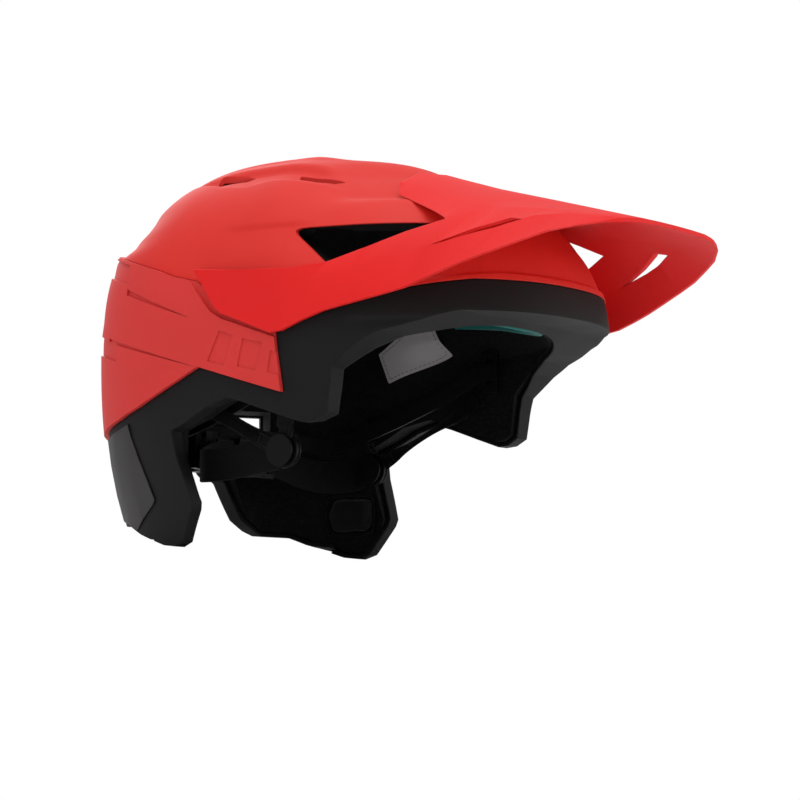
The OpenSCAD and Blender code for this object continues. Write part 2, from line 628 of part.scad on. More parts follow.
// Fit system: cradle, housing and dial stack up backwards from the cradle's inner face
cradle_r = 95;
cradle_wall = 3.2;
cradle_half_w = 46;
cradle_h = 26;
housing_half_w = 28;
housing_floor = 1.8;
stack_gap = 0.3;
hub_r = 3.4;
tip_r = 2;
hub_play = 0.06;
tooth_rise = 0.9;
tooth_fall = 1.1;
tooth_w = 0.38;
housing_y = cradle_y + cradle_wall + 0.1;
rack_y = housing_y + housing_floor + stack_gap;
cover_y = rack_y + rack_t + stack_gap + 0.2;
cover_t = 1.8;
dial_y = cover_y + cover_t + 0.4;
dial_z = -dial_drop;
housing_h = 2 * (pinion_r + tooth_fall + rack_h + 2);
stem_half_w = 5;
stem_t = 3;
post_y = cradle_y + 4.5;
stem_top = 4;
shelf_z = dial_z + dial_r + 4;
rail_z = [-14, 13];
rail_back = widest_y + cavity_rear - 0.6;
rail_side = 4;
rail_lip = 2.2;
stem_y = rail_back - 9;

// Block as wide as the stem, from one back position and height to another
module stem_block(y_from, y_to, z_from, z_to) {
    translate([-stem_half_w, y_from, z_from]) cube([2 * stem_half_w, y_to - y_from, z_to - z_from]);
}
module cradle_drum(r, z_from, z_to) {
    translate([0, cradle_y - cradle_r, z_from]) cylinder(r = r, h = z_to - z_from, $fn = 180);
}
module cradle() color(plastic_black) in_place() {
    low = dial_z - cradle_h / 2;
    high = dial_z + cradle_h / 2;
    foot = high + 0.5;
    difference() {
        union() {
            intersection() {
                difference() {
                    cradle_drum(cradle_r + cradle_wall, low, high);
                    cradle_drum(cradle_r, low - 1, high + 1);
                }
                translate([-cradle_half_w, 0, low]) cube([2 * cradle_half_w, far_out, cradle_h]);
            }
            difference() {
                translate([-housing_half_w, cradle_y - 7, low])
                    cube([2 * housing_half_w, cradle_wall + 7, cradle_h]);
                cradle_drum(cradle_r, low - 1, high + 1);
            }
            stem_block(cradle_y, cradle_y + cradle_wall, high - 4, high + stem_t);
            stem_block(cradle_y, post_y + stem_t, foot, foot + 2.5);
            stem_block(post_y, post_y + stem_t, foot, shelf_z + stem_t);
            stem_block(post_y, stem_y + stem_t, shelf_z, shelf_z + stem_t);
            stem_block(stem_y, stem_y + stem_t, shelf_z, stem_top);
        }
        for (side = [-1, 1]) translate([side * 37, 0, dial_z - 6]) cube([8, far_out, 12]);
    }
}

// Rail on the liner that the cradle's stem slides up and down in
module height_rail() color(plastic_black) in_place() difference() {
    translate([-stem_half_w - rail_side, stem_y - rail_lip, rail_z[0]])
        cube([2 * (stem_half_w + rail_side), rail_back - stem_y + rail_lip, rail_z[1] - rail_z[0]]);
    translate([-stem_half_w - 0.3, stem_y - 0.3, rail_z[0] - 1])
        cube([2 * stem_half_w + 0.6, stem_t + 0.6, rail_z[1] - rail_z[0] + 2]);
}
module rail_seat(grow) {
    translate([-stem_half_w - rail_side - grow, stem_y - rail_lip, rail_z[0] - grow])
        cube([2 * (stem_half_w + rail_side + grow), rail_back - stem_y + rail_lip + grow,
            rail_z[1] - rail_z[0] + 2 * grow]);
}

module dial_housing() color(plastic_black) in_place() difference() {
    union() {
        translate([-housing_half_w, housing_y, dial_z - housing_h / 2])
            cube([2 * housing_half_w, housing_floor, housing_h]);
        for (z = [dial_z - housing_h / 2, dial_z + housing_h / 2 - 1.6])
            translate([-housing_half_w, housing_y, z]) cube([2 * housing_half_w, cover_y - housing_y, 1.6]);
    }
    translate([0, housing_y - 1, dial_z]) rotate([-90, 0, 0])
        cylinder(r = tip_r + hub_play, h = housing_floor + 2, $fn = 36);
}

module dial_cover() color(plastic_black) in_place() difference() {
    translate([-housing_half_w, cover_y + 0.05, dial_z - housing_h / 2])
        cube([2 * housing_half_w, cover_t - 0.05, housing_h]);
    translate([0, cover_y - 1, dial_z]) rotate([-90, 0, 0])
        cylinder(r = hub_r + hub_play, h = cover_t + 2, $fn = 48);
}

// Outline of one tooth about its pitch point, root side first
function tooth_points(pitch, rise, fall) =
    let (lean = tan(20), half = tooth_w * pitch / 2)
    [[-half - fall * lean, -fall], [-half + rise * lean, rise], [half - rise * lean, rise],
        [half + fall * lean, -fall]];

module fit_dial() color(plastic_black) in_place() {
    grips = 16;
    translate([0, 0, dial_z]) rotate([-90, 0, 0]) {
        translate([0, 0, dial_y]) difference() {
            cylinder(r = dial_r, h = dial_t, $fn = 48);
            for (i = [0:grips - 1]) rotate(i * 360 / grips) translate([dial_r + 0.9, 0, -1])
                cylinder(r = 1.5, h = dial_t + 2, $fn = 14);
            translate([0, 0, dial_t - 1.2]) cylinder(r = dial_r - 4.5, h = 3, $fn = 36);
        }
        translate([0, 0, dial_y + 1]) cylinder(r = 5, h = dial_t - 1, $fn = 24);
        translate([0, 0, rack_y]) cylinder(r = hub_r, h = dial_y - rack_y + 1, $fn = 36);
        translate([0, 0, housing_y + 0.2]) cylinder(r = tip_r, h = rack_y - housing_y, $fn = 24);
        translate([0, 0, rack_y]) {
            cylinder(r = pinion_r - tooth_fall + 0.15, h = rack_t, $fn = 36);
            for (i = [0:pinion_teeth - 1]) rotate(i * 360 / pinion_teeth) translate([0, -pinion_r, 0])
                linear_extrude(rack_t) mirror([0, 1])
                    polygon(tooth_points(2 * PI * pinion_r / pinion_teeth, tooth_rise, tooth_fall));
        }
    }
}

// A rack strip above the pinion; its twin is turned half round for the other side
rack_in = 13;
rack_out = 43;
module rack_strip() {
    pitch = 2 * PI * pinion_r / pinion_teeth;
    root = pinion_r + tooth_fall;
    teeth = [for (k = [-4:7], t = tooth_points(pitch, tooth_rise - 0.1, tooth_fall))
        [(k + 0.5) * pitch + t[0], pinion_r - t[1]]];
    inner_end = [[-rack_in, root + rack_h], [-rack_in, root]];
    outer_end = [[rack_out, root], [rack_out, root + rack_h]];
    translate([0, rack_y + rack_t, dial_z]) rotate([90, 0, 0]) linear_extrude(rack_t)
        polygon(concat(inner_end, teeth, outer_end));
}
module rack_left() color(plastic_black) in_place() rack_strip();
module rack_right() color(plastic_black) in_place()
    translate([0, 0, 2 * dial_z]) rotate([0, 180, 0]) rack_strip();

// Flat strip swept along points; each entry is a point and the direction of the strip's width
module ribbon(path, wide, thick) {
    n = len(path);
    function unit(v) = v / norm(v);
    function along(k) = unit(path[min(k + 1, n - 1)][0] - path[max(k - 1, 0)][0]);
    points = [for (k = [0:n - 1]) let (
            w = unit(path[k][1] - (path[k][1] * along(k)) * along(k)),
            t = cross(along(k), w))
        each [for (s = [[-1, -1], [1, -1], [1, 1], [-1, 1]])
            path[k][0] + w * s[0] * wide / 2 + t * s[1] * thick / 2]];
    faces = concat([[0, 1, 2], [0, 2, 3]],
        [for (k = [0:n - 2], i = [0:3]) let (a = 4 * k + i, b = 4 * k + (i + 1) % 4)
            each [[a, a + 4, b], [b, a + 4, b + 4]]],
        [let (e = 4 * (n - 1)) each [[e, e + 2, e + 1], [e, e + 3, e + 2]]]);
    polyhedron(points, faces);
}

// Head bands: a sleeve round the end of a rack, then a flat band forward to a clip at the temple
sleeve_x = [37, 44];
band_w = 9;
band_t = 1.6;
peg_r = 2;
clip_place = [-40, -8];
clip_t = 2;
clip_half_z = cradle_travel + peg_r + 4;
clip_x = wall_x(clip_place, 5, clip_half_z) - 0.6 - 2 * facet_sag;
band_front_x = clip_x - clip_t - 0.4 - band_t / 2;
function band_path(rack_z) = [for (p = [[sleeve_x[0] + 0.5, rack_y - 1.6, rack_z], [46, rack_y - 2.6, rack_z],
        [cavity_half_w - 22, cradle_y - 4, rack_z * 0.8 - 9], [cavity_half_w - 13.5, cradle_y - 18, -46.5],
        [cavity_half_w - 9.9, 45, -41.5], [cavity_half_w - 7.5, 20, -33], [cavity_half_w - 3, -10, -21],
        [band_front_x, -34, clip_place[1] - 1], [band_front_x, -46, clip_place[1]]])
    [p, [0, 0, 1]]];
module band(rack_z, side) {
    mirror([side < 0 ? 1 : 0, 0, 0]) {
        difference() {
            translate([sleeve_x[0], rack_y - 2.1, rack_z - rack_h / 2 - 1.6])
                cube([sleeve_x[1] - sleeve_x[0], rack_t + 3.8, rack_h + 3.2]);
            translate([sleeve_x[0] - 1, rack_y - 0.3, rack_z - rack_h / 2 - 0.3])
                cube([sleeve_x[1] - sleeve_x[0] + 2, rack_t + 0.6, rack_h + 0.6]);
        }
        ribbon(band_path(rack_z), band_w, band_t);
        translate([band_front_x, clip_place[0], clip_place[1]]) rotate([0, 90, 0])
            cylinder(r = peg_r, h = band_t / 2 + 0.4 + clip_t * 0.8, $fn = 32);
    }
}
upper_rack_z = dial_z + pinion_r + tooth_fall + rack_h / 2;
lower_rack_z = dial_z - pinion_r - tooth_fall - rack_h / 2;
module band_left() color(plastic_black) in_place() band(upper_rack_z, 1);
module band_right() color(plastic_black) in_place() band(lower_rack_z, -1);

module temple_clip() difference() {
    translate([clip_x - clip_t, clip_place[0] - 5, clip_place[1] - clip_half_z])
        cube([clip_t, 10, 2 * clip_half_z]);
    slot_reach = cradle_travel + 0.3;
    hull() for (z = [-slot_reach, slot_reach])
        translate([clip_x - clip_t - 1, clip_place[0], clip_place[1] + z]) rotate([0, 90, 0])
            cylinder(r = peg_r + 0.4, h = clip_t + 2, $fn = 24);
}
module temple_clip_left() color(plastic_black) in_place() temple_clip();
module temple_clip_right() color(plastic_black) in_place() mirror([1, 0, 0]) temple_clip();

module nape_pad() color(pad_black) in_place() intersection() {
    translate([0, cradle_y - cradle_r, dial_z - cradle_h / 2 + 2]) difference() {
        cylinder(r = cradle_r - soft_gap, h = cradle_h - 4, $fn = 120);
        translate([0, 0, -1]) cylinder(r = cradle_r - soft_gap - 3, h = cradle_h, $fn = 120);
    }
    translate([-34, 0, -far_out]) cube([68, far_out, far_out]);
}

// Chin strap: anchors in the liner, webbing down to a divider on each side, then in under the cradle
strap_hole_r = 2.6;
strap_w = web_w - 9;
anchor_places = [[-24, -25], [47, -33]];
anchor_disc_r = 5.5;
anchor_disc_t = 1.4;
anchor_depth = 6;
strap_reach = 7;
module along_x(place, r, x_from, x_to) translate([x_from, place[0], place[1]]) rotate([0, 90, 0])
    cylinder(r = r, h = x_to - x_from, $fn = 20);
module anchor_holes(r) {
    for (side = [0, 1], a = anchor_places) mirror([side, 0, 0])
        along_x(a, r, cavity_x(a[0], a[1]) - 12, cavity_x(a[0], a[1]) + anchor_depth + 0.4);
}
module strap_anchors() color(plastic_black) in_place()
    for (side = [0, 1], a = anchor_places) mirror([side, 0, 0]) {
        x = cavity_x(a[0], a[1]);
        inner_x = wall_x(a, strap_reach, strap_reach) - web_t - 2 * soft_gap;
        along_x(a, strap_hole_r - 0.3, inner_x - 0.2, x + anchor_depth);
        along_x(a, anchor_disc_r, inner_x - anchor_disc_t, inner_x);
    }

// A divider is three round plates on a rivet, with a groove for the side straps and one for the chin web
divider_x = cavity_half_w - 2.5;
divider_r = 9.5;
divider_plate = 1.2;
divider_mid = 2;
divider_rivet_r = 2.5;
groove = web_t + 0.6;
divider_places = [[41, -60], [-12, -62]];
outer_groove_x = divider_x + divider_mid / 2 + groove / 2;
inner_groove_x = divider_x - divider_mid / 2 - groove / 2;
module strap_divider(place) {
    along_x(place, divider_r, divider_x - divider_mid / 2, divider_x + divider_mid / 2);
    along_x(place, divider_r - 1, outer_groove_x + groove / 2, outer_groove_x + groove / 2 + divider_plate);
    along_x(place, divider_r - 1, inner_groove_x - groove / 2 - divider_plate, inner_groove_x - groove / 2);
    along_x(place, divider_rivet_r, inner_groove_x - groove / 2 - 0.1, outer_groove_x + groove / 2 + 0.1);
}
module strap_divider_left() color(plastic_black) in_place() strap_divider(divider_places[0]);
module strap_divider_right() color(plastic_black) in_place() mirror([1, 0, 0])
    strap_divider(divider_places[1]);

// One side strap from its anchor to the rim of the divider's rivet
strap_end = 7.5;
strap_twist = 56;
strap_dip = 0.3;
module side_strap(anchor, place) {
    x = wall_x(anchor, strap_reach, strap_reach) - soft_gap - web_t / 2;
    run = [anchor[0] - place[0], anchor[1] - place[1]];
    heading = run / norm(run);
    across = [0, -heading[1], heading[0]];
    low = place + heading * strap_end;
    knee = place + heading * (divider_r + 2);
    high = anchor + heading * strap_reach;
    turned = cos(strap_twist) * across - [sin(strap_twist), 0, 0];
    difference() {
        ribbon([[[x, high[0], high[1]], across], [[x, anchor[0], anchor[1]], across],
            [[x, anchor[0] - strap_reach * heading[0], anchor[1] - strap_reach * heading[1]], across],
            for (t = [0.36, 0.64]) let (m = anchor * (1 - t) + place * t)
                [[x * (1 - t) + outer_groove_x * t - strap_dip, m[0], m[1]], turned],
            [[outer_groove_x, knee[0], knee[1]], across], [[outer_groove_x, low[0], low[1]], across]],
            strap_w, web_t);
        along_x(anchor, strap_hole_r + 0.1, x - 4, x + 4);
    }
}
module strap_left() color(web_black) in_place()
    for (a = anchor_places) side_strap(a, divider_places[0]);
module strap_right() color(web_black) in_place() mirror([1, 0, 0])
    for (a = anchor_places) side_strap(a, divider_places[1]);

// Buckle tucked in under the cradle: frame, lever on a cross pin, and the toothed tongue it holds
buckle_z = -57;
buckle_y = cradle_y - 10;
buckle_half_z = web_w / 2 + 1;
lever_pin = [buckle_len / 2 - 7, buckle_y - 6];
lever_pin_r = 1.5;
tongue_t = 1.6;
tongue_w = 9;
tongue_y = buckle_y - buckle_wall - 0.3 - tongue_t;
tab_len = 9;
web_on_tab_y = buckle_y - buckle_wall - 0.3 - web_t / 2;
web_on_tongue_y = tongue_y - 0.3 - web_t / 2;
upright = [0, 0, 1];
chin_path_left = [[inner_groove_x, divider_places[0][0] + 6, -61], [inner_groove_x - 0.3, 52, -63],
    [inner_groove_x - 7.9, 58, -64.5], [54, 64, -64.5], [42, buckle_y - 5.5, -62],
    [32, buckle_y - 3.4, -59], [24, web_on_tab_y, buckle_z - 0.2],
    [buckle_len / 2 + 1, web_on_tab_y, buckle_z]];
chin_path_right = [[inner_groove_x, divider_places[1][0] + 6, -63], [inner_groove_x, 2, -64],
    [inner_groove_x - 1.4, 20, -66], [inner_groove_x - 3.4, 38, -67], [inner_groove_x - 7.9, 52, -66.5],
    [54, 62, -65], [42, buckle_y - 7, -62], [32, buckle_y - 5, -59],
    [24, web_on_tongue_y, buckle_z - 0.3], [buckle_len / 2 + 2, web_on_tongue_y, buckle_z]];
module chin_web_left() color(web_black) in_place()
    ribbon([for (p = chin_path_left) [p, upright]], web_w, web_t);
module chin_web_right() color(web_black) in_place() mirror([1, 0, 0])
    ribbon([for (p = chin_path_right) [p, upright]], web_w, web_t);

module buckle_frame() color(plastic_black) in_place() translate([0, 0, buckle_z]) difference() {
    union() {
        translate([-buckle_len / 2, buckle_y - buckle_wall, -buckle_half_z])
            cube([buckle_len + tab_len, buckle_wall, 2 * buckle_half_z]);
        for (side = [0, 1]) mirror([0, 0, side])
            translate([-buckle_len / 2, buckle_y - buckle_t, buckle_half_z - buckle_wall])
                cube([buckle_len, buckle_t, buckle_wall]);
    }
    translate([lever_pin[0], lever_pin[1], -buckle_half_z - 1])
        cylinder(r = lever_pin_r + 0.05, h = 2 * buckle_half_z + 2, $fn = 36);
}

module buckle_lever() color(plastic_black) in_place() translate([0, 0, buckle_z]) {
    half = buckle_half_z - buckle_wall - 0.3;
    translate([lever_pin[0], lever_pin[1], -buckle_half_z + 0.3])
        cylinder(r = lever_pin_r, h = 2 * buckle_half_z - 0.6, $fn = 24);
    translate([lever_pin[0], lever_pin[1], -half]) cylinder(r = 2.1, h = 2 * half, $fn = 24);
    translate([-buckle_len / 2 - 1, lever_pin[1] - 2.1, -half])
        cube([buckle_len / 2 + 1 + lever_pin[0], 2, 2 * half]);
    for (i = [0:2]) translate([-buckle_len / 2 + 2.5 * i, lever_pin[1] - 2.1, -half + 1])
        cylinder(r = 0.6, h = 2 * half - 2, $fn = 14);
}

module buckle_tongue() color(plastic_black) in_place() translate([0, 0, buckle_z]) difference() {
    union() {
        translate([-buckle_len / 2 - 14, tongue_y, -tongue_w / 2])
            cube([buckle_len + 10, tongue_t, tongue_w]);
        translate([-buckle_len / 2 - 14, tongue_y, -web_w / 2]) cube([11, tongue_t, web_w]);
    }
    for (i = [0:9]) translate([-buckle_len / 2 + 1 + 2.2 * i, tongue_y, -tongue_w])
        rotate([0, 0, 45]) translate([-0.5, -0.5, 0]) cube([1, 1, 2 * tongue_w]);
}

// Plain grey label on the inner wall
label_outline = [[36, 7], [18, 18.5], [-3, 20.5], [-10.5, 4], [29, -10.5]];
module sewn_label() color(label_grey) in_place() intersection() {
    closed_layer([for (u = foam_us) [for (a = foam_angles) cavity_point(a, u, -soft_gap - facet_sag)]],
        [for (u = foam_us) [for (a = foam_angles) cavity_point(a, u, -soft_gap - facet_sag - 0.8)]]);
    through_x() polygon(label_outline);
    translate([0, -far_out, -far_out]) cube(2 * far_out);
}

// Helmet frame to the part's own frame: lobes on the ground, origin under the middle
module in_place() translate([0, fore_shift, lobe_depth]) children();

crown_shell();
rear_shell();
lower_shell();
lobe_panel_left();
lobe_panel_right();
foam_liner();
foam_lobe_left();
foam_lobe_right();
brow_trim();
damping_discs();
brow_pad();
crown_pad();
side_pad_left();
side_pad_right();
lobe_pad_left();
lobe_pad_right();
visor();
pivot_bush_left();
pivot_bush_right();
height_rail();
cradle();
dial_housing();
dial_cover();
nape_pad();
fit_dial();
rack_left();
rack_right();
band_left();
band_right();
temple_clip_left();
temple_clip_right();
strap_anchors();
strap_left();
strap_right();
strap_divider_left();
strap_divider_right();
chin_web_left();
chin_web_right();
buckle_frame();
buckle_lever();
buckle_tongue();
sewn_label();
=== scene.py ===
import bpy
import math
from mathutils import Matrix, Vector


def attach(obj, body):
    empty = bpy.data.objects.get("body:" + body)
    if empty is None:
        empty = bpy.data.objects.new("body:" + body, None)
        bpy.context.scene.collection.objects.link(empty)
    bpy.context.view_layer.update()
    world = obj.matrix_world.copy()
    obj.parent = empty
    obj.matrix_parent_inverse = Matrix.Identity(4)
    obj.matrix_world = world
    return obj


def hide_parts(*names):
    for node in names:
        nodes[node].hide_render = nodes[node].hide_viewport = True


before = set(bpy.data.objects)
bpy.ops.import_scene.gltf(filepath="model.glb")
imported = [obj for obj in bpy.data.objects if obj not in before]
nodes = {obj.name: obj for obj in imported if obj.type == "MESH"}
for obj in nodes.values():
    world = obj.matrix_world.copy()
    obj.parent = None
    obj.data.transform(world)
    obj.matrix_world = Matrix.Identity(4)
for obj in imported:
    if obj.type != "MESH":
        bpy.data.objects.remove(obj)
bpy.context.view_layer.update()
mm = 0.001
weldReach = 0.00001
crispAngle = math.radians(28)
print("frame loaded:", len(nodes), "nodes")


studio = {
    "lens": 130.5,
    "cameraAt": (-1.271, -0.9165, -0.086),
    "cameraTurn": (96.067, 0.006, -54.114),
    "floorSize": 5.0,
    "floorZ": -0.0005,
    "floorColour": (0.88, 0.88, 0.88),
    "floorSeen": (0.86, 0.86, 0.86),
    "skyTop": 0.66,
    "skyLow": 0.42,
    "lamps": [
        # name, place, size, power, what it points at
        ("overhead", (-0.5, -0.35, 1.9), 1.9, 23, (0, 0.02, 0.1)),
        ("cameraSide", (-1.9, -1.1, 0.75), 1.5, 1.2, (0, 0.0, 0.12)),
        ("frontLow", (0.8, -1.25, 0.14), 0.7, 4.5, (0, -0.14, 0.15)),
        ("backRim", (0.9, 1.6, 1.2), 1.4, 9, (0, 0.05, 0.12)),
    ],
}


def aim(place, target):
    return (Vector(target) - Vector(place)).to_track_quat("-Z", "Y").to_euler()


def makeCamera():
    scene = bpy.context.scene
    camera = bpy.data.objects.new("camera", bpy.data.cameras.new("camera"))
    scene.collection.objects.link(camera)
    camera.data.lens = studio["lens"]
    camera.data.sensor_width = 36
    camera.data.clip_start = 0.05
    camera.data.clip_end = 50
    camera.location = studio["cameraAt"]
    camera.rotation_euler = [math.radians(a) for a in studio["cameraTurn"]]
    scene.camera = camera
    scene.view_settings.view_transform = "Standard"


def makeLamps():
    for name, place, size, power, target in studio["lamps"]:
        lamp = bpy.data.lights.new(name, "AREA")
        lamp.shape = "DISK"
        lamp.size = size
        lamp.energy = power
        holder = bpy.data.objects.new(name, lamp)
        holder.location = place
        holder.rotation_euler = aim(place, target)
        bpy.context.scene.collection.objects.link(holder)


class Wire:
    # one output of a shader node, with the operators that the materials use
    def __init__(self, graph, socket):
        self.graph = graph
        self.socket = socket

    def maths(self, operation, other=0.0, flip=False):
        pair = (other, self) if flip else (self, other)
        return self.graph.node("ShaderNodeMath", {"operation": operation}, {0: pair[0], 1: pair[1]})

    def __add__(self, other):
        return self.maths("ADD", other)

    def __sub__(self, other):
        return self.maths("SUBTRACT", other)

    def __rsub__(self, other):
        return self.maths("SUBTRACT", other, True)

    def __mul__(self, other):
        return self.maths("MULTIPLY", other)

    def __truediv__(self, other):
        return self.maths("DIVIDE", other)

    def __rtruediv__(self, other):
        return self.maths("DIVIDE", other, True)

    def __pow__(self, other):
        return self.maths("POWER", other)

    def __abs__(self):
        return self.maths("ABSOLUTE")

    __radd__ = __add__
    __rmul__ = __mul__

    def between(self, low, high):
        return self.graph.node("ShaderNodeMapRange", {"clamp": True}, {0: self, 1: low, 2: high})


class Graph:
    def __init__(self, name, tree=None):
        self.material = None if tree else bpy.data.materials.new(name)
        if self.material:
            self.material.use_nodes = True
        self.tree = tree or self.material.node_tree
        self.tree.nodes.clear()
        self.place = self.node("ShaderNodeTexCoord", {}, {}, "Generated" if tree else "Object")

    def node(self, kind, settings, sockets, output=0):
        made = self.tree.nodes.new(kind)
        for key, value in settings.items():
            if key == "stops":
                ramp = made.color_ramp
                while len(ramp.elements) < len(value):
                    ramp.elements.new(0.5)
                for element, (at, colour) in zip(ramp.elements, value):
                    element.position = at
                    element.color = colour
            else:
                setattr(made, key, value)
        for key, value in sockets.items():
            if isinstance(value, Wire):
                self.tree.links.new(value.socket, made.inputs[key])
            else:
                made.inputs[key].default_value = value
        return Wire(self, made.outputs[output]) if made.outputs else None

    def noise(self, size, detail=2.0, rough=0.5, at=None):
        # size is the width of one blotch in metres
        return self.node("ShaderNodeTexNoise", {}, {"Vector": at or self.place, "Scale": 1 / size,
                                                    "Detail": detail, "Roughness": rough})

    def cells(self, size, feature="F1", output="Distance", at=None):
        return self.node("ShaderNodeTexVoronoi", {"feature": feature}, {"Vector": at or self.place,
                                                                        "Scale": 1 / size}, output)

    def mix(self, share, first, second):
        return self.node("ShaderNodeMix", {"data_type": "RGBA"}, {0: share, 6: first, 7: second}, 2)

    def parts(self, vector, axes="XYZ"):
        return [self.node("ShaderNodeSeparateXYZ", {}, {0: vector}, axis) for axis in axes]

    def roundEdge(self, radius):
        return self.node("ShaderNodeBevel", {"samples": 4}, {"Radius": radius})

    def edgeShare(self, radius):
        # 0 on flat faces, towards 1 along outer edges
        rounded = self.roundEdge(radius)
        flat = self.node("ShaderNodeNewGeometry", {}, {}, "Normal")
        along = self.node("ShaderNodeVectorMath", {"operation": "DOT_PRODUCT"}, {0: rounded, 1: flat}, "Value")
        return (1.0 - along).between(0.0, 0.25)

    def finish(self, colour, roughness, height, depth, edge=0.0, constants=None):
        sockets = {"Height": height, "Distance": depth, "Strength": 1.0}
        if edge:
            sockets["Normal"] = self.roundEdge(edge)
        normal = self.node("ShaderNodeBump", {}, sockets)
        values = {"Base Color": colour, "Roughness": roughness, "Normal": normal}
        values.update(constants or {})
        surface = self.node("ShaderNodeBsdfPrincipled", {}, values)
        self.node("ShaderNodeOutputMaterial", {}, {"Surface": surface})
        return self.material


def makeSky():
    # seen directly it is white; as light it fades from a bright top to a dim floor
    world = bpy.data.worlds.new("studioSky")
    bpy.context.scene.world = world
    world.use_nodes = True
    sky = Graph("studioSky", world.node_tree)
    height = sky.parts(sky.place, "Z")[0]
    strength = height.between(-0.4, 0.9) * (studio["skyTop"] - studio["skyLow"]) + studio["skyLow"]
    lit = sky.node("ShaderNodeBackground", {}, {"Color": (1, 1, 1, 1), "Strength": strength})
    seen = sky.node("ShaderNodeBackground", {}, {"Color": (1, 1, 1, 1), "Strength": 1.0})
    direct = sky.node("ShaderNodeLightPath", {}, {}, "Is Camera Ray")
    through = sky.node("ShaderNodeLightPath", {}, {}, "Is Transmission Ray")
    blend = sky.node("ShaderNodeMixShader", {}, {0: direct.maths("MAXIMUM", through), 1: lit, 2: seen})
    sky.node("ShaderNodeOutputWorld", {}, {"Surface": blend})


makeCamera()
makeLamps()
makeSky()
print("studio ready")


def tint(red, green, blue):
    # screen colour, 0 to 255, as the linear colour that the shader takes
    return tuple([((v / 255 + 0.055) / 1.055) ** 2.4 if v > 10 else v / 255 / 12.92
                  for v in (red, green, blue)] + [1.0])


def mouldedPlastic(name, look):
    graph = Graph(name)
    patches = graph.noise(look["patch"], 3.0)
    grain = graph.noise(look["grain"], 2.0, 0.6)
    wear = graph.edgeShare(look["edge"] * 1.6) * graph.noise(0.006, 3.0, 0.7).between(0.42, 0.62)
    dust = graph.noise(0.0011, 2.0, 0.8).between(0.70, 0.78) * graph.noise(0.03, 2.0).between(0.45, 0.7)
    colour = graph.mix(patches.between(0.3, 0.7), tint(*look["deep"]), tint(*look["main"]))
    colour = graph.mix(wear * look["wear"], colour, tint(*look["worn"]))
    colour = graph.mix(dust * look["dust"], colour, tint(*look["worn"]))
    roughness = patches * 0.10 + look["rough"] - 0.05 + grain * 0.06
    return graph.finish(colour, roughness, grain, look["relief"], look["edge"], look.get("constants"))


looks = {
    "shellRed": {"main": (217, 43, 34), "deep": (212, 41, 33), "worn": (238, 80, 66), "wear": 0.35, "dust": 0.05,
                 "patch": 0.05, "grain": 0.0005, "relief": 0.00002, "rough": 0.55, "edge": 0.0006,
                 "constants": {"Specular IOR Level": 0.28}},
    "visorRed": {"main": (226, 25, 24), "deep": (221, 23, 23), "worn": (240, 74, 62), "wear": 0.35, "dust": 0.05,
                 "patch": 0.05, "grain": 0.0005, "relief": 0.00002, "rough": 0.56, "edge": 0.0007,
                 "constants": {"Specular IOR Level": 0.24}},
    # rear shell red: partly the rear shell's own pinker tone, partly painted shade, darker because the back is less
    # lit
    "shellRearPartShaded": {"main": (213, 51, 48), "deep": (207, 48, 45), "worn": (234, 88, 78), "wear": 0.35, "dust": 0.05,
                  "patch": 0.05, "grain": 0.0005, "relief": 0.00002, "rough": 0.56, "edge": 0.0006,
                  "constants": {"Specular IOR Level": 0.3}},
    "shellBlack": {"main": (14, 13, 14), "deep": (11, 11, 12), "worn": (36, 35, 35), "wear": 0.4, "dust": 0.1,
                   "patch": 0.03, "grain": 0.0004, "relief": 0.00004, "rough": 0.62, "edge": 0.0018,
                   "constants": {"Specular IOR Level": 0.22}},
    "panelGrey": {"main": (37, 33, 33), "deep": (32, 30, 30), "worn": (76, 72, 70), "wear": 0.4, "dust": 0.1,
                  "patch": 0.03, "grain": 0.0004, "relief": 0.00003, "rough": 0.5, "edge": 0.0005,
                  "constants": {"Specular IOR Level": 0.4}},
    # near-black nylon, darker than its own black: partly its colour, partly painted shade that keeps it as dark as
    # the shaded inside of the helmet
    "fitNylon": {"main": (10, 10, 11), "deep": (7, 7, 8), "worn": (30, 30, 30), "wear": 0.3, "dust": 0.08,
                 "patch": 0.02, "grain": 0.0003, "relief": 0.00003, "rough": 0.46, "edge": 0.0004,
                 "constants": {"Specular IOR Level": 0.15}},
}
finishes = {name: mouldedPlastic(name, look) for name, look in looks.items()}


def beadFoam():
    graph = Graph("beadFoam")
    wide = 0.0034
    bead = graph.cells(wide, "F1")
    seam = graph.cells(wide, "DISTANCE_TO_EDGE")
    shade = graph.cells(wide, "F1", "Color")
    tone = graph.node("ShaderNodeSeparateColor", {}, {0: shade})
    colour = graph.mix(tone * 0.7, tint(10, 10, 11), tint(18, 18, 19))
    colour = graph.mix(seam.between(0.0, 0.12), tint(5, 5, 6), colour)
    height = seam.between(0.0, 0.25) - bead * 0.3 + graph.noise(0.0006, 2.0) * 0.15
    return graph.finish(colour, graph.noise(0.01) * 0.15 + 0.72, height, 0.00022, 0.0006,
                        {"Specular IOR Level": 0.2})


def knitCloth(name, main, deep, pitch, relief, sheen=0.25):
    graph = Graph(name)
    parts = graph.parts(graph.place)
    turn = 2 * math.pi / pitch
    across = (parts[1] * turn + parts[0] * turn * 0.35).maths("SINE")
    down = (parts[2] * turn * 1.15 + parts[0] * turn * 0.25).maths("SINE")
    loops = across * down * 0.5 + 0.5
    fuzz = graph.noise(pitch * 0.45, 3.0, 0.7)
    blotch = graph.noise(0.012, 2.0)
    colour = graph.mix(loops * 0.7 + fuzz * 0.3, tint(*deep), tint(*main))
    colour = graph.mix(blotch.between(0.35, 0.75) * 0.25, colour, tint(*deep))
    return graph.finish(colour, fuzz * 0.1 + 0.82, loops + fuzz * 0.4, relief, 0.0, {
        "Sheen Weight": sheen, "Sheen Roughness": 0.4, "Specular IOR Level": 0.25})


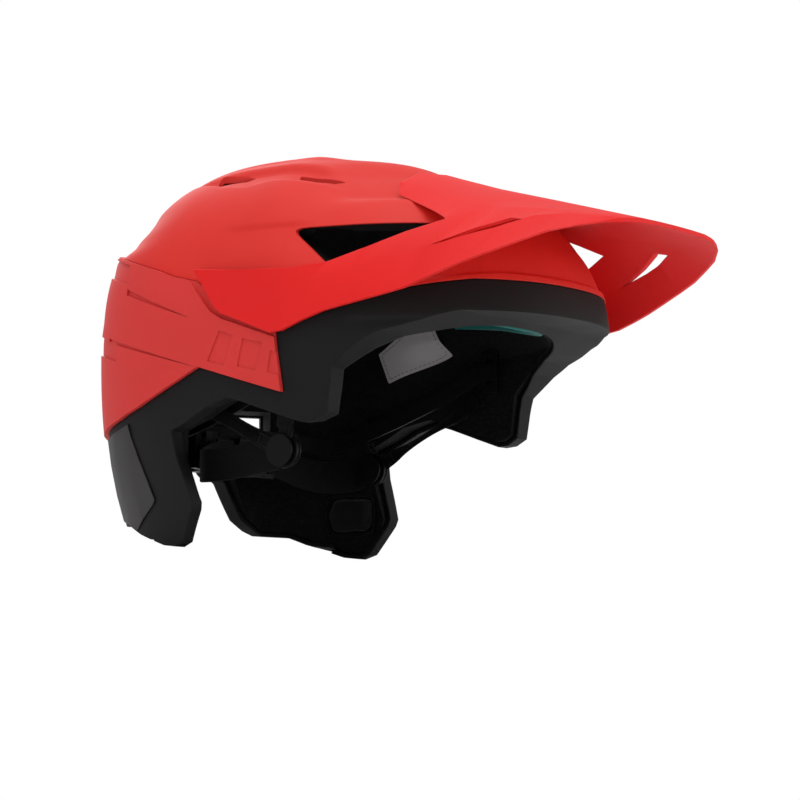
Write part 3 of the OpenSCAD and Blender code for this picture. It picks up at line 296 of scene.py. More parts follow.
def wovenWeb():
    # the UV map holds metres: across the web from its middle, and along it
    graph = Graph("webbing")
    lay = graph.node("ShaderNodeUVMap", {"uv_map": "weave"}, {})
    across, along = graph.parts(lay, "XY")
    pitch = 0.0016
    turn = 2 * math.pi / pitch
    rib = (along * turn + abs(across) * turn).maths("SINE") * 0.5 + 0.5
    thread = (across * turn * 2.2).maths("SINE") * 0.5 + 0.5
    fuzz = graph.noise(0.0005, 3.0, 0.7)
    # near-black threads, darker than the web's own black: partly its colour, partly painted shade that keeps it as
    # dark as the shaded inside of the helmet
    colour = graph.mix(rib * 0.6 + thread * 0.25 + fuzz * 0.15, tint(3, 3, 4), tint(12, 12, 13))
    return graph.finish(colour, fuzz * 0.12 + 0.7, rib + thread * 0.5 + fuzz * 0.2, 0.00016, 0.0, {
        "Sheen Weight": 0.06, "Sheen Roughness": 0.4, "Specular IOR Level": 0.15})


finishes["beadFoam"] = beadFoam()
finishes["padKnit"] = knitCloth("padKnit", (22, 22, 23), (8, 8, 9), 0.0011, 0.00018, 0.12)
finishes["trimKnit"] = knitCloth("trimKnit", (0, 138, 128), (0, 96, 92), 0.0009, 0.00014)
finishes["trimThread"] = knitCloth("trimThread", (14, 150, 140), (0, 84, 80), 0.0005, 0.0001, 0.3)
# pale cloth, lighter than the label's own grey: partly its colour, partly painted light that lifts it in the shaded
# inside of the helmet
finishes["labelCloth"] = knitCloth("labelCloth", (206, 202, 204), (182, 178, 180), 0.0006, 0.00006, 0.1)
finishes["labelThread"] = knitCloth("labelThread", (120, 117, 118), (84, 82, 83), 0.0005, 0.0001, 0.3)
finishes["pipingKnit"] = knitCloth("pipingKnit", (12, 12, 13), (5, 5, 6), 0.0008, 0.00012, 0.06)
finishes["thread"] = knitCloth("thread", (34, 34, 36), (16, 16, 17), 0.0005, 0.0001, 0.1)
finishes["webbing"] = wovenWeb()
print("materials ready:", len(finishes))


# the helmet's own frame is millimetres about the ear line; this lifts it to the part's frame
lift = Vector((0.0, 36.5, 111.0))
far = 260.0
seam = 0.1
shell = {
    "halfWidth": 101.5, "front": 152.0, "rear": 122.0, "crown": 103.5, "lobeDepth": 111.0, "widestY": 11.0,
    "wall": 2.2, "proud": 2.0, "shoulder": 4.5, "ledge": 1.4, "waist": 3.0, "ridge": 1.8, "brow": 6.0,
    "recess": 4.0, "channel": 4.0, "dome": 4.5, "crease": 0.9, "lip": 1.5,
    "frontSquare": 2.35, "rearSquare": 3.0, "sideRise": 2.55, "frontRise": 2.05,
    "lobeTaper": 0.135, "lobeCurve": 2.5, "columns": 288,
}
cavity = {"halfWidth": 77.5, "front": 114.0, "rear": 96.5, "height": 76.0, "rimFlare": 11.0, "lobeFlare": 7.0}


def ease(low, high, value):
    t = min(1.0, max(0.0, (value - low) / (high - low)))
    return t * t * (3 - 2 * t)


def along(value, stops):
    # straight steps through (place, height) pairs
    if value <= stops[0][0]:
        return stops[0][1]
    for (a, low), (b, high) in zip(stops, stops[1:]):
        if value <= b:
            return low + (high - low) * (value - a) / (b - a)
    return stops[-1][1]


def offFront(turn):
    turn = turn % 360
    return 360 - turn if turn > 180 else turn


def rise(u, turn=180.0):
    power = shell["frontRise"] + (shell["sideRise"] - shell["frontRise"]) * ease(35, 85, offFront(turn))
    if u > 0:
        return (1 - min(u, 1.0) ** power) ** (1 / power)
    return 1 - shell["lobeTaper"] * (-u) ** shell["lobeCurve"]


def planRadius(turn, half, reach, square):
    angle = math.radians(turn)
    return ((abs(math.sin(angle)) / half) ** square + (abs(math.cos(angle)) / reach) ** square) ** (-1 / square)


def planOf(turn, inset, u):
    ahead = math.cos(math.radians(turn)) > 0
    reach = shell["front"] if ahead else shell["rear"]
    square = shell["frontSquare"] if ahead else shell["rearSquare"]
    return planRadius(turn, shell["halfWidth"] - inset, reach - inset, square) * rise(u, turn)


channelEdge = [(-60, 66), (-38, 68), (-19, 70), (0, 71.5), (15, 75), (34, 72), (50, 65), (64, 58)]
channelFloor = [(-60, 58), (-38, 57), (0, 57), (34, 57.5), (50, 57), (64, 55)]
lipEdge = [(-170, 22), (-125, 21), (-105, 17.5), (-81, 12.3), (-68, 8.6)]


def relief(turn, u):
    off = offFront(turn)
    plain = planOf(turn, 0.0, u)
    x = plain * abs(math.sin(math.radians(turn)))
    y = shell["widestY"] - plain * math.cos(math.radians(turn))
    z = u * shell["crown"]
    wide = rise(u) * shell["halfWidth"] * abs(math.sin(math.radians(turn)))
    out = shell["ridge"] * (1 - ease(28, 38, wide)) * ease(0.55, 0.8, u) * ease(20, 70, off)
    outer = along(y, channelEdge)
    inner = along(y, channelFloor)
    out -= shell["channel"] * ease(inner - 8, inner, x) * (1 - ease(outer - 4.5, outer, x)) \
        * ease(0.6, 0.76, u) * ease(45, 62, off) * (1 - ease(132, 146, off))
    back = ease(115, 150, off)
    out -= shell["shoulder"] * back * ease(0.46, 0.56, u) * (1 - ease(0.62, 0.95, u))
    out -= shell["ledge"] * back * ease(0.56, 0.65, u) * (1 - ease(0.67, 0.75, u))
    out -= shell["waist"] * ease(130, 165, off) * ease(0.02, 0.16, u) * (1 - ease(0.38, 0.47, u))
    out += shell["brow"] * (1 - ease(45, 80, off)) * ease(-0.3, -0.02, u) * (1 - ease(0.2, 0.45, u))
    out -= shell["recess"] * (1 - ease(40, 60, off)) * ease(0.62, 0.72, u) * (1 - ease(0.84, 0.94, u))
    # fuller dome in front of the visor's recess
    out += shell["dome"] * (1 - ease(38, 62, off)) * ease(0.22, 0.42, u) * (1 - ease(0.58, 0.70, u))
    # crease that runs back from the side vent
    out -= shell["crease"] * (1 - ease(0.528, 0.545, u)) * ease(0.36, 0.5, u) \
        * ease(58, 66, off) * (1 - ease(84, 94, off))
    # lip along the crown's lower front edge
    if y < -62 and u > 0:
        out += shell["lip"] * (1 - ease(2.2, 3.2, z - along(y, lipEdge))) * (1 - ease(-75, -62, y))
    return out


def shellPoint(turn, u, depth):
    inset = depth - relief(turn, u)
    r = planOf(turn, inset, u)
    angle = math.radians(turn)
    z = u * (shell["crown"] - inset) if u > 0 else u * shell["lobeDepth"]
    return Vector((r * math.sin(angle), shell["widestY"] - r * math.cos(angle), z))


def cavityPoint(turn, u, grow):
    off = offFront(turn)
    g = grow + cavity["rimFlare"] * (1 - ease(0, 0.18, u)) * (1 - ease(75, 100, off)) \
        + cavity["lobeFlare"] * ease(95, 115, off) * ease(0.25, 0.6, -u)
    angle = math.radians(turn)
    ahead = math.cos(angle) > 0
    r = planRadius(turn, cavity["halfWidth"] + g, (cavity["front"] if ahead else cavity["rear"]) + g,
                   shell["frontSquare"] if ahead else shell["rearSquare"]) * (rise(u) if u > 0 else 1.0)
    z = u * (cavity["height"] + grow) if u > 0 else u * shell["lobeDepth"]
    return Vector((r * math.sin(angle), shell["widestY"] - r * math.cos(angle), z))


def pieceFrom(name, points, faces):
    mesh = bpy.data.meshes.new(name)
    mesh.from_pydata([(p + lift) * mm for p in points], [], faces)
    mesh.update()
    piece = bpy.data.objects.new(name, mesh)
    bpy.context.scene.collection.objects.link(piece)
    return piece


def closedLayer(name, heights, outer, inner, columns=None):
    # wall between two depths of the shell, or between two functions of (turn, u)
    columns = columns or shell["columns"]
    turns = [360 * i / columns - 180 for i in range(columns)]
    points = []
    for side in (outer, inner):
        for u in heights:
            points += [side(t, u) if callable(side) else shellPoint(t, u, side) for t in turns]
    rows = len(heights)
    faces = []
    half = rows * columns
    for i in range(rows - 1):
        for j in range(columns):
            a, b = i * columns + j, i * columns + (j + 1) % columns
            faces.append((a, b, b + columns, a + columns))
            faces.append((half + a, half + a + columns, half + b + columns, half + b))
    top = (rows - 1) * columns
    if heights[-1] > 0.999:
        for k, start in enumerate((top, half + top)):
            pole = sum((points[start + j] for j in range(columns)), Vector()) / columns
            points.append(Vector((0, shell["widestY"], pole.z + 0.03)))
            for j in range(columns):
                a, b = start + j, start + (j + 1) % columns
                faces.append((a, b, len(points) - 1) if k == 0 else (b, a, len(points) - 1))
    else:
        faces += [(top + j, top + (j + 1) % columns, half + top + (j + 1) % columns, half + top + j)
                  for j in range(columns)]
    faces += [(j, half + j, half + (j + 1) % columns, (j + 1) % columns) for j in range(columns)]
    return pieceFrom(name, points, faces)


def steps(low, high, count):
    return [low + (high - low) * i / count for i in range(count)]


def roundCorners(outline, radii, arc=6):
    # each corner replaced by a short arc; radii is one number or one for each corner
    radii = radii if isinstance(radii, (list, tuple)) else [radii] * len(outline)
    done = []
    for i, radius in enumerate(radii):
        here = Vector(outline[i]).to_2d()
        before = (Vector(outline[i - 1]).to_2d() - here)
        after = (Vector(outline[(i + 1) % len(outline)]).to_2d() - here)
        reach = min(radius / max(0.05, math.tan(before.angle(after) / 2)), before.length * 0.45, after.length * 0.45)
        start = here + before.normalized() * reach
        end = here + after.normalized() * reach
        for k in range(arc + 1):
            t = k / arc
            done.append(tuple(start * (1 - t) ** 2 + here * 2 * t * (1 - t) + end * t ** 2))
    return done


def prism(outline, way, low=-far, high=far):
    # an outline carried along x, y or z; outlines are (y, z), (x, z) and (x, y)
    area = sum(a[0] * b[1] - b[0] * a[1] for a, b in zip(outline, outline[1:] + outline[:1]))
    ring = list(outline) if area > 0 else list(reversed(outline))
    if way == "y":
        ring.reverse()
    place = {"x": lambda a, b, t: Vector((t, a, b)), "y": lambda a, b, t: Vector((a, t, b)),
             "z": lambda a, b, t: Vector((a, b, t))}[way]
    points = [place(a, b, low) for a, b in ring] + [place(a, b, high) for a, b in ring]
    count = len(ring)
    faces = [tuple(reversed(range(count))), tuple(range(count, 2 * count))]
    faces += [(i, (i + 1) % count, count + (i + 1) % count, count + i) for i in range(count)]
    return pieceFrom("cutter", points, faces)


def apply(piece, kind, settings):
    bpy.ops.object.select_all(action="DESELECT")
    piece.select_set(True)
    bpy.context.view_layer.objects.active = piece
    modifier = piece.modifiers.new(kind.lower(), kind)
    for key, value in settings.items():
        setattr(modifier, key, value)
    bpy.ops.object.modifier_apply(modifier=modifier.name)


def cut(piece, *tools, keep=False):
    for tool in tools:
        apply(piece, "BOOLEAN", {"operation": "INTERSECT" if keep else "DIFFERENCE", "solver": "MANIFOLD",
                                 "object": tool})
        bpy.data.objects.remove(tool)


def addTo(piece, other):
    apply(piece, "BOOLEAN", {"operation": "UNION", "solver": "MANIFOLD", "object": other})
    bpy.data.objects.remove(other)


def dress(piece, finish, body, smooth=32):
    piece.data.materials.clear()
    piece.data.materials.append(finishes[finish])
    bpy.ops.object.select_all(action="DESELECT")
    piece.select_set(True)
    bpy.context.view_layer.objects.active = piece
    bpy.ops.object.shade_smooth_by_angle(angle=math.radians(smooth))
    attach(piece, body)


rimEdge = [(-150, 5), (-121, 4.5), (-96, -3), (-84, -6), (-72, -12), (-58, -23), (-54.5, -46), (-47, -49.5),
           (-39, -50), (-24, -45), (-4, -38), (6, -35), (20, -39), (33, -45.5), (46, -50.5), (43.5, -64),
           (35, -88), (36, -92), (43, -103.5), (46, -108.5), (53, -111), (62, -110), (82, -103.4), (94, -98),
           (111, -97), (121, -91), (131, -76), (150, -66)]
colourEdge = lipEdge + [(-50, 4), (-27, -3), (-30, -34.5), (24, -18), (37.4, -23.7), (52.2, -29.8),
                        (68.4, -36), (87.6, -41.6), (97.5, -43.6), (150, -54)]
shoulderEdge = [(175, 73), (110, 53.5), (80, 44.2), (56, 36.9), (44, 32.4), (27.6, 28.4), (10, 18), (-27, -3)]
gapHalf = [(0, -60), (28, -61), (34.5, -67), (42, -88), (52, -97), (76, -104), (95, -111)]
bush = {"y": -2, "z": 17, "radius": 7.7, "from": 90.6}


def belowRim(ahead=0.0, up=0.0):
    ring = rimEdge + [(far, rimEdge[-1][1]), (far, -far), (-far, -far), (-far, rimEdge[0][1])]
    return prism([(y + ahead, z + up) for y, z in ring], "x")


def lobeGap(aside=0.0, up=0.0):
    mirrored = [(-x, z) for x, z in reversed(gapHalf[1:])]
    ring = [(-gapHalf[-1][0], -far)] + mirrored + gapHalf + [(gapHalf[-1][0], -far)]
    return prism([(x + aside, z + up) for x, z in ring], "y", 70, 330)


def besideColour(end, down=0.0):
    # all that lies above or below the line where red meets black
    ring = [(y, z - down) for y, z in colourEdge]
    return prism(ring + [(far, ring[-1][1]), (far, end), (-far, end), (-far, ring[0][1])], "x")


def behindShoulder(out=0.0):
    ring = [(y, z - out) for y, z in shoulderEdge]
    return prism(ring + [(out - 30, -34.5), (out - 30, -far), (far, -far), (far, shoulderEdge[0][1])], "x")


def bushHoles():
    ring = [(bush["y"] + bush["radius"] * math.cos(a), bush["z"] + bush["radius"] * math.sin(a))
            for a in [2 * math.pi * i / 48 for i in range(48)]]
    return [prism(ring, "x", bush["from"], 130), prism(ring, "x", -130, -bush["from"])]


ventShape = {"side": [(-27, 52.6), (-105, 52), (-57, 29.5)], "sideRound": [3.2, 1.5, 1.8],
             "top": [[(56.5, -38), (57.5, -10), (60.5, -12), (59.5, -34)],
                     [(55, 24), (51, 50), (54.5, 52), (58.5, 26)]],
             "topGrow": 0.6, "topRound": 1.6, "topZ": (30, 150)}


def grown(outline, by):
    # an outline pushed out by a distance, with plain mitred corners
    area = sum(a[0] * b[1] - b[0] * a[1] for a, b in zip(outline, outline[1:] + outline[:1]))
    side = 1 if area > 0 else -1
    done = []
    for i, point in enumerate(outline):
        here = Vector(point)
        first = (here - Vector(outline[i - 1])).normalized()
        second = (Vector(outline[(i + 1) % len(outline)]) - here).normalized()
        a, b = Vector((first.y, -first.x)) * side, Vector((second.y, -second.x)) * side
        middle = (a + b).normalized()
        done.append(tuple(here + middle * by / max(0.3, middle.dot(a))))
    return done


def makeCrown():
    # the last rows lie closer and closer, towards the pole
    dome = [math.sin(math.radians(a)) for a in steps(64.2, 90, 26)]
    heights = steps(-0.06, 0.27, 42) + steps(0.27, 0.62, 30) + steps(0.62, 0.9, 34) + dome + [0.9999]
    crown = closedLayer("crown", heights, 0.0, shell["wall"])
    cut(crown, besideColour(-far, -seam), behindShoulder(-seam))
    cut(crown, prism(roundCorners(ventShape["side"], ventShape["sideRound"]), "x"))
    for outline in ventShape["top"]:
        ring = roundCorners(grown(outline, ventShape["topGrow"]), ventShape["topRound"])
        cut(crown, prism(ring, "z", *ventShape["topZ"]), prism([(-x, y) for x, y in ring], "z", *ventShape["topZ"]))
    cut(crown, *bushHoles())
    dress(crown, "shellRed", "helmet")
    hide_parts("crown_shell")


rearShape = {
    "portDepth": 1.1, "barDepth": 0.7, "slotHalf": 44, "slotHeights": [46, 6], "slotRound": 2.0, "slotOpen": 3.0,
    "ports": [[(79.5, 31.5), (81, 42.5), (110, 51.5), (150, 62), (150, 49), (110, 40)],
              [(89, -10), (90, 0), (110, 6.5), (150, 16), (150, 3), (110, -4)],
              [(80, 29), (80, 25.5), (29, 8.3)], [(97, 3.9), (97, 1.5), (24.7, -18.1)]],
    "bars": [[(9, 0.3), (-0.4, -3), (6.2, -18.3), (17.1, -15.5)],
             [(-6.4, -5), (-19.8, -8), (-14.6, -22.3), (-3, -19.5)],
             [(-24.7, -12.5), (-28.9, -13.8), (-29.4, -25.3), (-22.1, -23.8)]],
    "window": [(-50, 90), (-50, 97), (-71, 122), (-71, far), (71, far), (71, 122), (50, 97), (50, 90)],
    "windowZ": (-42, -26), "windowHalf": 71,
    "armSweep": [(-45, -8), (-28, -6), (8, 6.5), (16, 11), (31.5, 29), (32, 42), (-45, 42)], "armX": (101.1, 130),
}


def shallow(outlines, depth, heights):
    # the skin of the rear shell down to a depth, where the outlines cover it
    skin = closedLayer("skin", heights, -shell["proud"] - 3, depth - shell["proud"], 180)
    marks = prism(outlines[0], "x")
    for outline in outlines[1:]:
        addTo(marks, prism(outline, "x"))
    cut(skin, marks, keep=True)
    return skin


def makeRearShell():
    heights = steps(-0.60, 0.0, 34) + steps(0.0, 0.50, 40) + steps(0.50, 0.76, 22) + [0.76]
    rear = closedLayer("rearShell", heights, -shell["proud"], shell["wall"])
    cut(rear, behindShoulder(seam), keep=True)
    cut(rear, besideColour(-far, -seam), belowRim(), lobeGap())
    coarse = steps(-0.60, 0.0, 20) + steps(0.0, 0.76, 40) + [0.76]
    cut(rear, shallow(rearShape["ports"], rearShape["portDepth"], coarse))
    cut(rear, shallow(rearShape["bars"], rearShape["barDepth"], coarse))
    for z in rearShape["slotHeights"]:
        w = rearShape["slotHalf"] + rearShape["slotRound"]
        h = rearShape["slotOpen"] / 2 + rearShape["slotRound"]
        ring = roundCorners([(-w, z - h), (w, z - h), (w, z + h), (-w, z + h)], rearShape["slotRound"])
        cut(rear, prism(ring, "y", 60, far))
    cut(rear, prism(rearShape["window"], "z", *rearShape["windowZ"]))
    low, high = rearShape["armX"]
    cut(rear, prism(rearShape["armSweep"], "x", low, high), prism(rearShape["armSweep"], "x", -high, -low))
    cut(rear, *bushHoles())
    # its red is darker than the crown's: partly its own tone, partly painted shade
    dress(rear, "shellRearPartShaded", "helmet")
    # the back of the shell and the edge of its window are black, like the foam behind them
    rear.data.materials.append(finishes["shellBlack"])
    low, high = rearShape["windowZ"]
    for face in rear.data.polygons:
        spot = face.center / mm - lift
        outward = Vector((spot.x, spot.y - shell["widestY"], 0)).normalized()
        atWindow = low - 0.1 < spot.z < high + 0.1 and abs(spot.x) < rearShape["windowHalf"] and spot.y > 60
        if atWindow or face.normal.dot(outward) < -0.7:
            face.material_index = 1
    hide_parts("rear_shell")


makeCrown()
print("crown shell shaped")
makeRearShell()
print("rear shell shaped")


lowerShape = {
    "outer": 0.5, "inner": 2.7, "rimOuter": 1.9, "rimGrow": 1.25, "rimDepth": 9.0,
    "rimShifts": [(2.2, 0.8), (-2.2, 0.8), (0.0, 2.4)], "gapShifts": [(0, 2.4), (2.2, 0.6), (-2.2, 0.6)],
    "panel": [(80.7, -44.5), (78.4, -51.5), (66, -78), (62.8, -86), (65, -88.5), (84, -101), (112, -92),
              (150, -66), (150, -57.5), (97, -48)],
    "seatDepth": 1.9, "seatGap": 0.3, "seatIn": 3.7,
}


def rimWall(turn, u):
    # how far the rim turns in: through the liner's whole wall at the brow, a short lip further back
    back = ease(40, 60, offFront(turn))
    deep = cavityPoint(turn, u, lowerShape["rimGrow"])
    return deep.lerp(shellPoint(turn, u, lowerShape["rimDepth"]), back)


def makeLowerShell():
    heights = steps(-1.02, -0.45, 34) + steps(-0.45, 0.24, 46) + [0.24]
    coarse = steps(-1.02, 0.24, 40) + [0.24]
    lower = closedLayer("lowerShell", heights, lowerShape["outer"], lowerShape["inner"])
    rim = closedLayer("rim", coarse, lowerShape["rimOuter"], rimWall, 144)
    near = belowRim(*lowerShape["rimShifts"][0])
    for y, z in lowerShape["rimShifts"][1:]:
        addTo(near, belowRim(y, z))
    for x, z in lowerShape["gapShifts"]:
        addTo(near, lobeGap(x, z))
    cut(rim, near, keep=True)
    addTo(lower, rim)
    cut(lower, belowRim(), lobeGap(), besideColour(far, seam))
    seat = closedLayer("seat", steps(-1.02, -0.3, 24) + [-0.3], -4.0, lowerShape["seatDepth"], 144)
    cut(seat, prism(grown(lowerShape["panel"], lowerShape["seatGap"]), "x"), keep=True)
    inner = lowerShape["seatIn"]
    cut(seat, lobeGap(inner, 0), lobeGap(-inner, 0), lobeGap(0, inner))
    cut(lower, seat)
    dress(lower, "shellBlack", "helmet", 38)
    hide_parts("lower_shell")


def cavityX(y, z, grow=0.0):
    # half width of the cavity at a place in the side view
    u = z / (cavity["height"] + grow) if z > 0 else z / shell["lobeDepth"]
    low, high = 0.0, 180.0
    for _ in range(22):
        middle = (low + high) / 2
        if cavityPoint(middle, u, grow).y < y:
            low = middle
        else:
            high = middle
    return cavityPoint(low, u, grow).x


def wallX(place, reach):
    return min(cavityX(place[0] + a, place[1] + b) for a in (-reach, 0, reach) for b in (-reach, 0, reach))


def smoothed(path, rounds=2):
    # corners cut again and again, ends kept
    for _ in range(rounds):
        done = [path[0]]
        for a, b in zip(path, path[1:]):
            done += [tuple(p.lerp(q, 0.25) for p, q in zip(a, b)), tuple(p.lerp(q, 0.75) for p, q in zip(a, b))]
        path = done + [path[-1]]
    return path


def sweep(name, path, section, closed=False):
    # path is (point, width direction) pairs; section is a loop of (across, out) in millimetres
    rings, lengths, run = len(path), [], 0.0
    points = []
    for k, (place, wide) in enumerate(path):
        before = path[k - 1][0] if k or closed else place
        after = path[(k + 1) % rings][0] if k < rings - 1 or closed else place
        ahead = (after - before).normalized()
        wide = (wide - ahead * wide.dot(ahead)).normalized()
        out = ahead.cross(wide)
        run += (place - path[k - 1][0]).length if k else 0.0
        lengths.append(run)
        points += [place + wide * a + out * b for a, b in section]
    n = len(section)
    faces = [(k * n + i, k * n + (i + 1) % n, (k + 1) % rings * n + (i + 1) % n, (k + 1) % rings * n + i)
             for k in range(rings if closed else rings - 1) for i in range(n)]
    if not closed:
        faces += [tuple(reversed(range(n))), tuple(range((rings - 1) * n, rings * n))]
    piece = pieceFrom(name, points, faces)
    weave = piece.data.uv_layers.new(name="weave")
    for loop in piece.data.loops:
        k, i = divmod(loop.vertex_index, n)
        weave.data[loop.index].uv = (section[i][0] * mm, lengths[k] * mm)
    return piece


def flatSection(wide, thick, steps=4):
    # rectangle with round edges
    r = thick / 2
    loop = []
    for side in (1, -1):
        for i in range(steps + 1):
            a = math.radians(-90 + 180 * i / steps)
            loop.append((side * (wide / 2 - r + r * math.cos(a)), side * r * math.sin(a)))
    return loop


def roundSection(radius, count=6):
    return [(radius * math.cos(2 * math.pi * i / count), radius * math.sin(2 * math.pi * i / count))
            for i in range(count)]


def joined(name, pieces):
    bpy.ops.object.select_all(action="DESELECT")
    for piece in pieces:
        piece.select_set(True)
    bpy.context.view_layer.objects.active = pieces[0]
    if len(pieces) > 1:
        bpy.ops.object.join()
    pieces[0].name = name
    return pieces[0]


def flipped(path):
    return [(Vector((-p.x, p.y, p.z)), Vector((-w.x, w.y, w.z))) for p, w in path]


def stitchAt(place, ahead, out, length=2.0, radius=0.28):
    # one stitch: a short thread that bows out of the cloth and dips back in
    path = []
    for i in range(5):
        t = i / 4
        path.append((place + ahead * (t - 0.5) * length + out * (math.sin(math.pi * t) * radius * 1.2 - radius * 0.4),
                     ahead.cross(out)))
    return sweep("stitch", path, roundSection(radius, 5))


strapShape = {
    "anchors": [(-24, -25), (47, -33)], "dividers": [(41, -60), (-12, -62)], "reach": 7.0, "gap": 0.3,
    "sideWidth": 9.0, "chinWidth": 18.0, "thick": 1.6, "ends": (11.5, 7.5), "twist": 56, "dip": 0.3,
    "grooveX": 77.1, "turnAt": (0.36, 0.64), "box": (5.6, 8.0),
    "chinLeft": [(72.9, 47, -61), (72.6, 52, -63), (65, 58, -64.5), (54, 64, -64.5), (42, 68.5, -62),
                 (32, 70.6, -59), (24, 71.1, -57.2), (16, 71.1, -57)],
    "chinRight": [(72.9, -6, -63), (72.9, 2, -64), (71.5, 20, -66), (69.5, 38, -67), (65, 52, -66.5),
                  (54, 62, -65), (42, 67, -62), (32, 69, -59), (24, 69.2, -57.3), (17, 69.2, -57)],
}


def sideStrap(anchor, place, mirrored):
    s = strapShape
    x = wallX(anchor, s["reach"]) - s["gap"] - s["thick"] / 2
    a, p = Vector(anchor), Vector(place)
    heading = (a - p).normalized()
    across = Vector((0, -heading.y, heading.x))
    twist = math.radians(s["twist"])
    turned = across * math.cos(twist) - Vector((math.sin(twist), 0, 0))
    path = [(Vector((x, *(a + heading * s["reach"]))), across), (Vector((x, *a)), across),
            (Vector((x, *(a - heading * s["reach"]))), across)]
    for t in s["turnAt"]:
        m = a.lerp(p, t)
        path.append((Vector((x * (1 - t) + s["grooveX"] * t - s["dip"], *m)), turned))
    path += [(Vector((s["grooveX"], *(p + heading * end))), across) for end in s["ends"]]
    path = flipped(path) if mirrored else path
    return sweep("strap", smoothed(path, 3), flatSection(s["sideWidth"], s["thick"])), path


def boxStitches(path, at, wide, long, side):
    # stitches round a small box on the face of a strap, centred at a path point
    place, across = path[at]
    ahead = (path[at + 1][0] - path[at][0]).normalized()
    across = (across - ahead * across.dot(ahead)).normalized()
    out = ahead.cross(across) * side
    face = strapShape["thick"] / 2
    threads = []
    for j in range(-2, 3):
        for edge in (-1, 1):
            threads.append(stitchAt(place + ahead * j * long / 4 + across * edge * wide / 2 + out * face, ahead, out,
                                    long / 5.4))
    for j in range(-1, 2):
        for edge in (-1, 1):
            threads.append(stitchAt(place + ahead * edge * long / 2 + across * j * wide / 3.2 + out * face, across,
                                    out, wide / 4))
    return threads


def makeStraps():
    s = strapShape
    for side, mirrored in (("left", False), ("right", True)):
        divider = s["dividers"][1 if mirrored else 0]
        straps, threads = [], []
        for anchor in s["anchors"]:
            strap, path = sideStrap(anchor, divider, mirrored)
            straps.append(strap)
            for face in (-1, 1):
                threads += boxStitches(path, 5, *s["box"], face)
        strap = joined("strap" + side.capitalize(), straps)
        dress(strap, "webbing", "helmet", 40)
        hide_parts("strap_" + side)
        places = s["chinRight" if mirrored else "chinLeft"]
        path = [(Vector(p), Vector((0, 0, 1))) for p in places]
        path = flipped(path) if mirrored else path
        web = sweep("chinWeb" + side.capitalize(), smoothed(path, 3), flatSection(s["chinWidth"], s["thick"]))
        dress(web, "webbing", "helmet", 40)
        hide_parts("chin_web_" + side)
        thread = joined("strapStitches" + side.capitalize(), threads)
        dress(thread, "thread", "helmet", 60)


trimShape = {"turns": 67, "columns": 72, "height": 4.6, "grow": -1.2, "thick": 2.0, "lean": 0.03,
             "spread": (-6, -3, 0, 3, 6), "stitchUp": 0.32, "stitch": (1.9, 0.22),
             "levels": [(0, 4), (22, 5.5), (34, 12.4), (46, 16.4), (67, 20.4)]}


def makeTrim():
    # elastic edging on the liner, just inside the brow's rim, rolled over at both edges
    t = trimShape
    path = []
    for i in range(t["columns"] + 1):
        turn = -t["turns"] + 2 * t["turns"] * i / t["columns"]
        u = sum(along(abs(turn) + d, t["levels"]) for d in t["spread"]) / len(t["spread"]) / cavity["height"]
        place = cavityPoint(turn, u, t["grow"] - t["thick"] / 2)
        over = cavityPoint(turn, u + t["lean"], t["grow"] - t["thick"] / 2) - place
        path.append((place, over))
    trim = sweep("browTrim", path, flatSection(t["height"], t["thick"], 6))
    dress(trim, "trimKnit", "helmet", 50)
    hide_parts("brow_trim")
    stitches = []
    for i in range(2, t["columns"] - 1):
        place, over = path[i]
        ahead = (path[i + 1][0] - place).normalized()
        over = (over - ahead * over.dot(ahead)).normalized()
        out = ahead.cross(over)
        out = out if out.dot(place) < 0 else -out
        at = place + over * t["height"] * t["stitchUp"] + out * t["thick"] / 2
        stitches.append(stitchAt(at, ahead, out, *t["stitch"]))
    thread = joined("trimStitches", stitches)
    dress(thread, "trimThread", "helmet", 60)


labelShape = {"outline": [(36, 7), (18, 18.5), (-3, 20.5), (-10.5, 4), (29, -10.5)], "round": 1.2,
              "back": -1.7, "face": -2.2, "hem": 1.9, "pitch": 2.6, "stitch": 0.7, "threadR": 0.2}


def makeLabel():
    s = labelShape
    heights = steps(-0.14, 0.34, 40) + [0.34]
    label = closedLayer("label", heights, lambda t, u: cavityPoint(t, u, s["back"]),
                        lambda t, u: cavityPoint(t, u, s["face"]), 240)
    cut(label, prism(roundCorners(s["outline"], s["round"]), "x", 0, 200), keep=True)
    dress(label, "labelCloth", "helmet", 40)
    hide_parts("sewn_label")
    inner = [Vector(p) for p in grown(s["outline"], -s["hem"])]
    threads = []
    for a, b in zip(inner, inner[1:] + inner[:1]):
        count = max(2, round((b - a).length / s["pitch"]))
        for i in range(count):
            spot = a.lerp(b, (i + 0.5) / count)
            on = Vector((cavityX(spot.x, spot.y, s["face"]), spot.x, spot.y))
            ahead = Vector((0, (b - a).x, (b - a).y)).normalized()
            threads.append(stitchAt(on, ahead, Vector((-1, 0, 0)), s["pitch"] * s["stitch"], s["threadR"]))
    thread = joined("labelStitches", threads)
    dress(thread, "labelThread", "helmet", 60)


cushions = {
    # body, fullness, and the patches of the cavity wall that it covers
    "brow_pad": ("helmet", 0.6, [(-38, 38, 0.24, 0.46)]),
    "crown_pad": ("helmet", 0.55, [(164, 196, 0.62, 0.92), (-24, 24, 0.64, 0.90)]),
    "side_pad_left": ("helmet", 0.6, [(64, 104, 0.32, 0.58)]),
    "side_pad_right": ("helmet", 0.6, [(-104, -64, 0.32, 0.58)]),
    "lobe_pad_left": ("helmet", 0.65, [(112, 130, -0.88, -0.66)]),
    "lobe_pad_right": ("helmet", 0.65, [(-130, -112, -0.88, -0.66)]),
    "nape_pad": ("cradle", 0.5, []),
}
puff = {"voxel": 3.4, "shrink": 0.7, "pressure": 4.0, "frames": 20, "most": 1.3}
piping = {"radius": 0.75, "beads": 96, "on": -1.5, "over": -4.0, "inset": 0.985, "bowAcross": 0.10, "bowUp": 0.12}


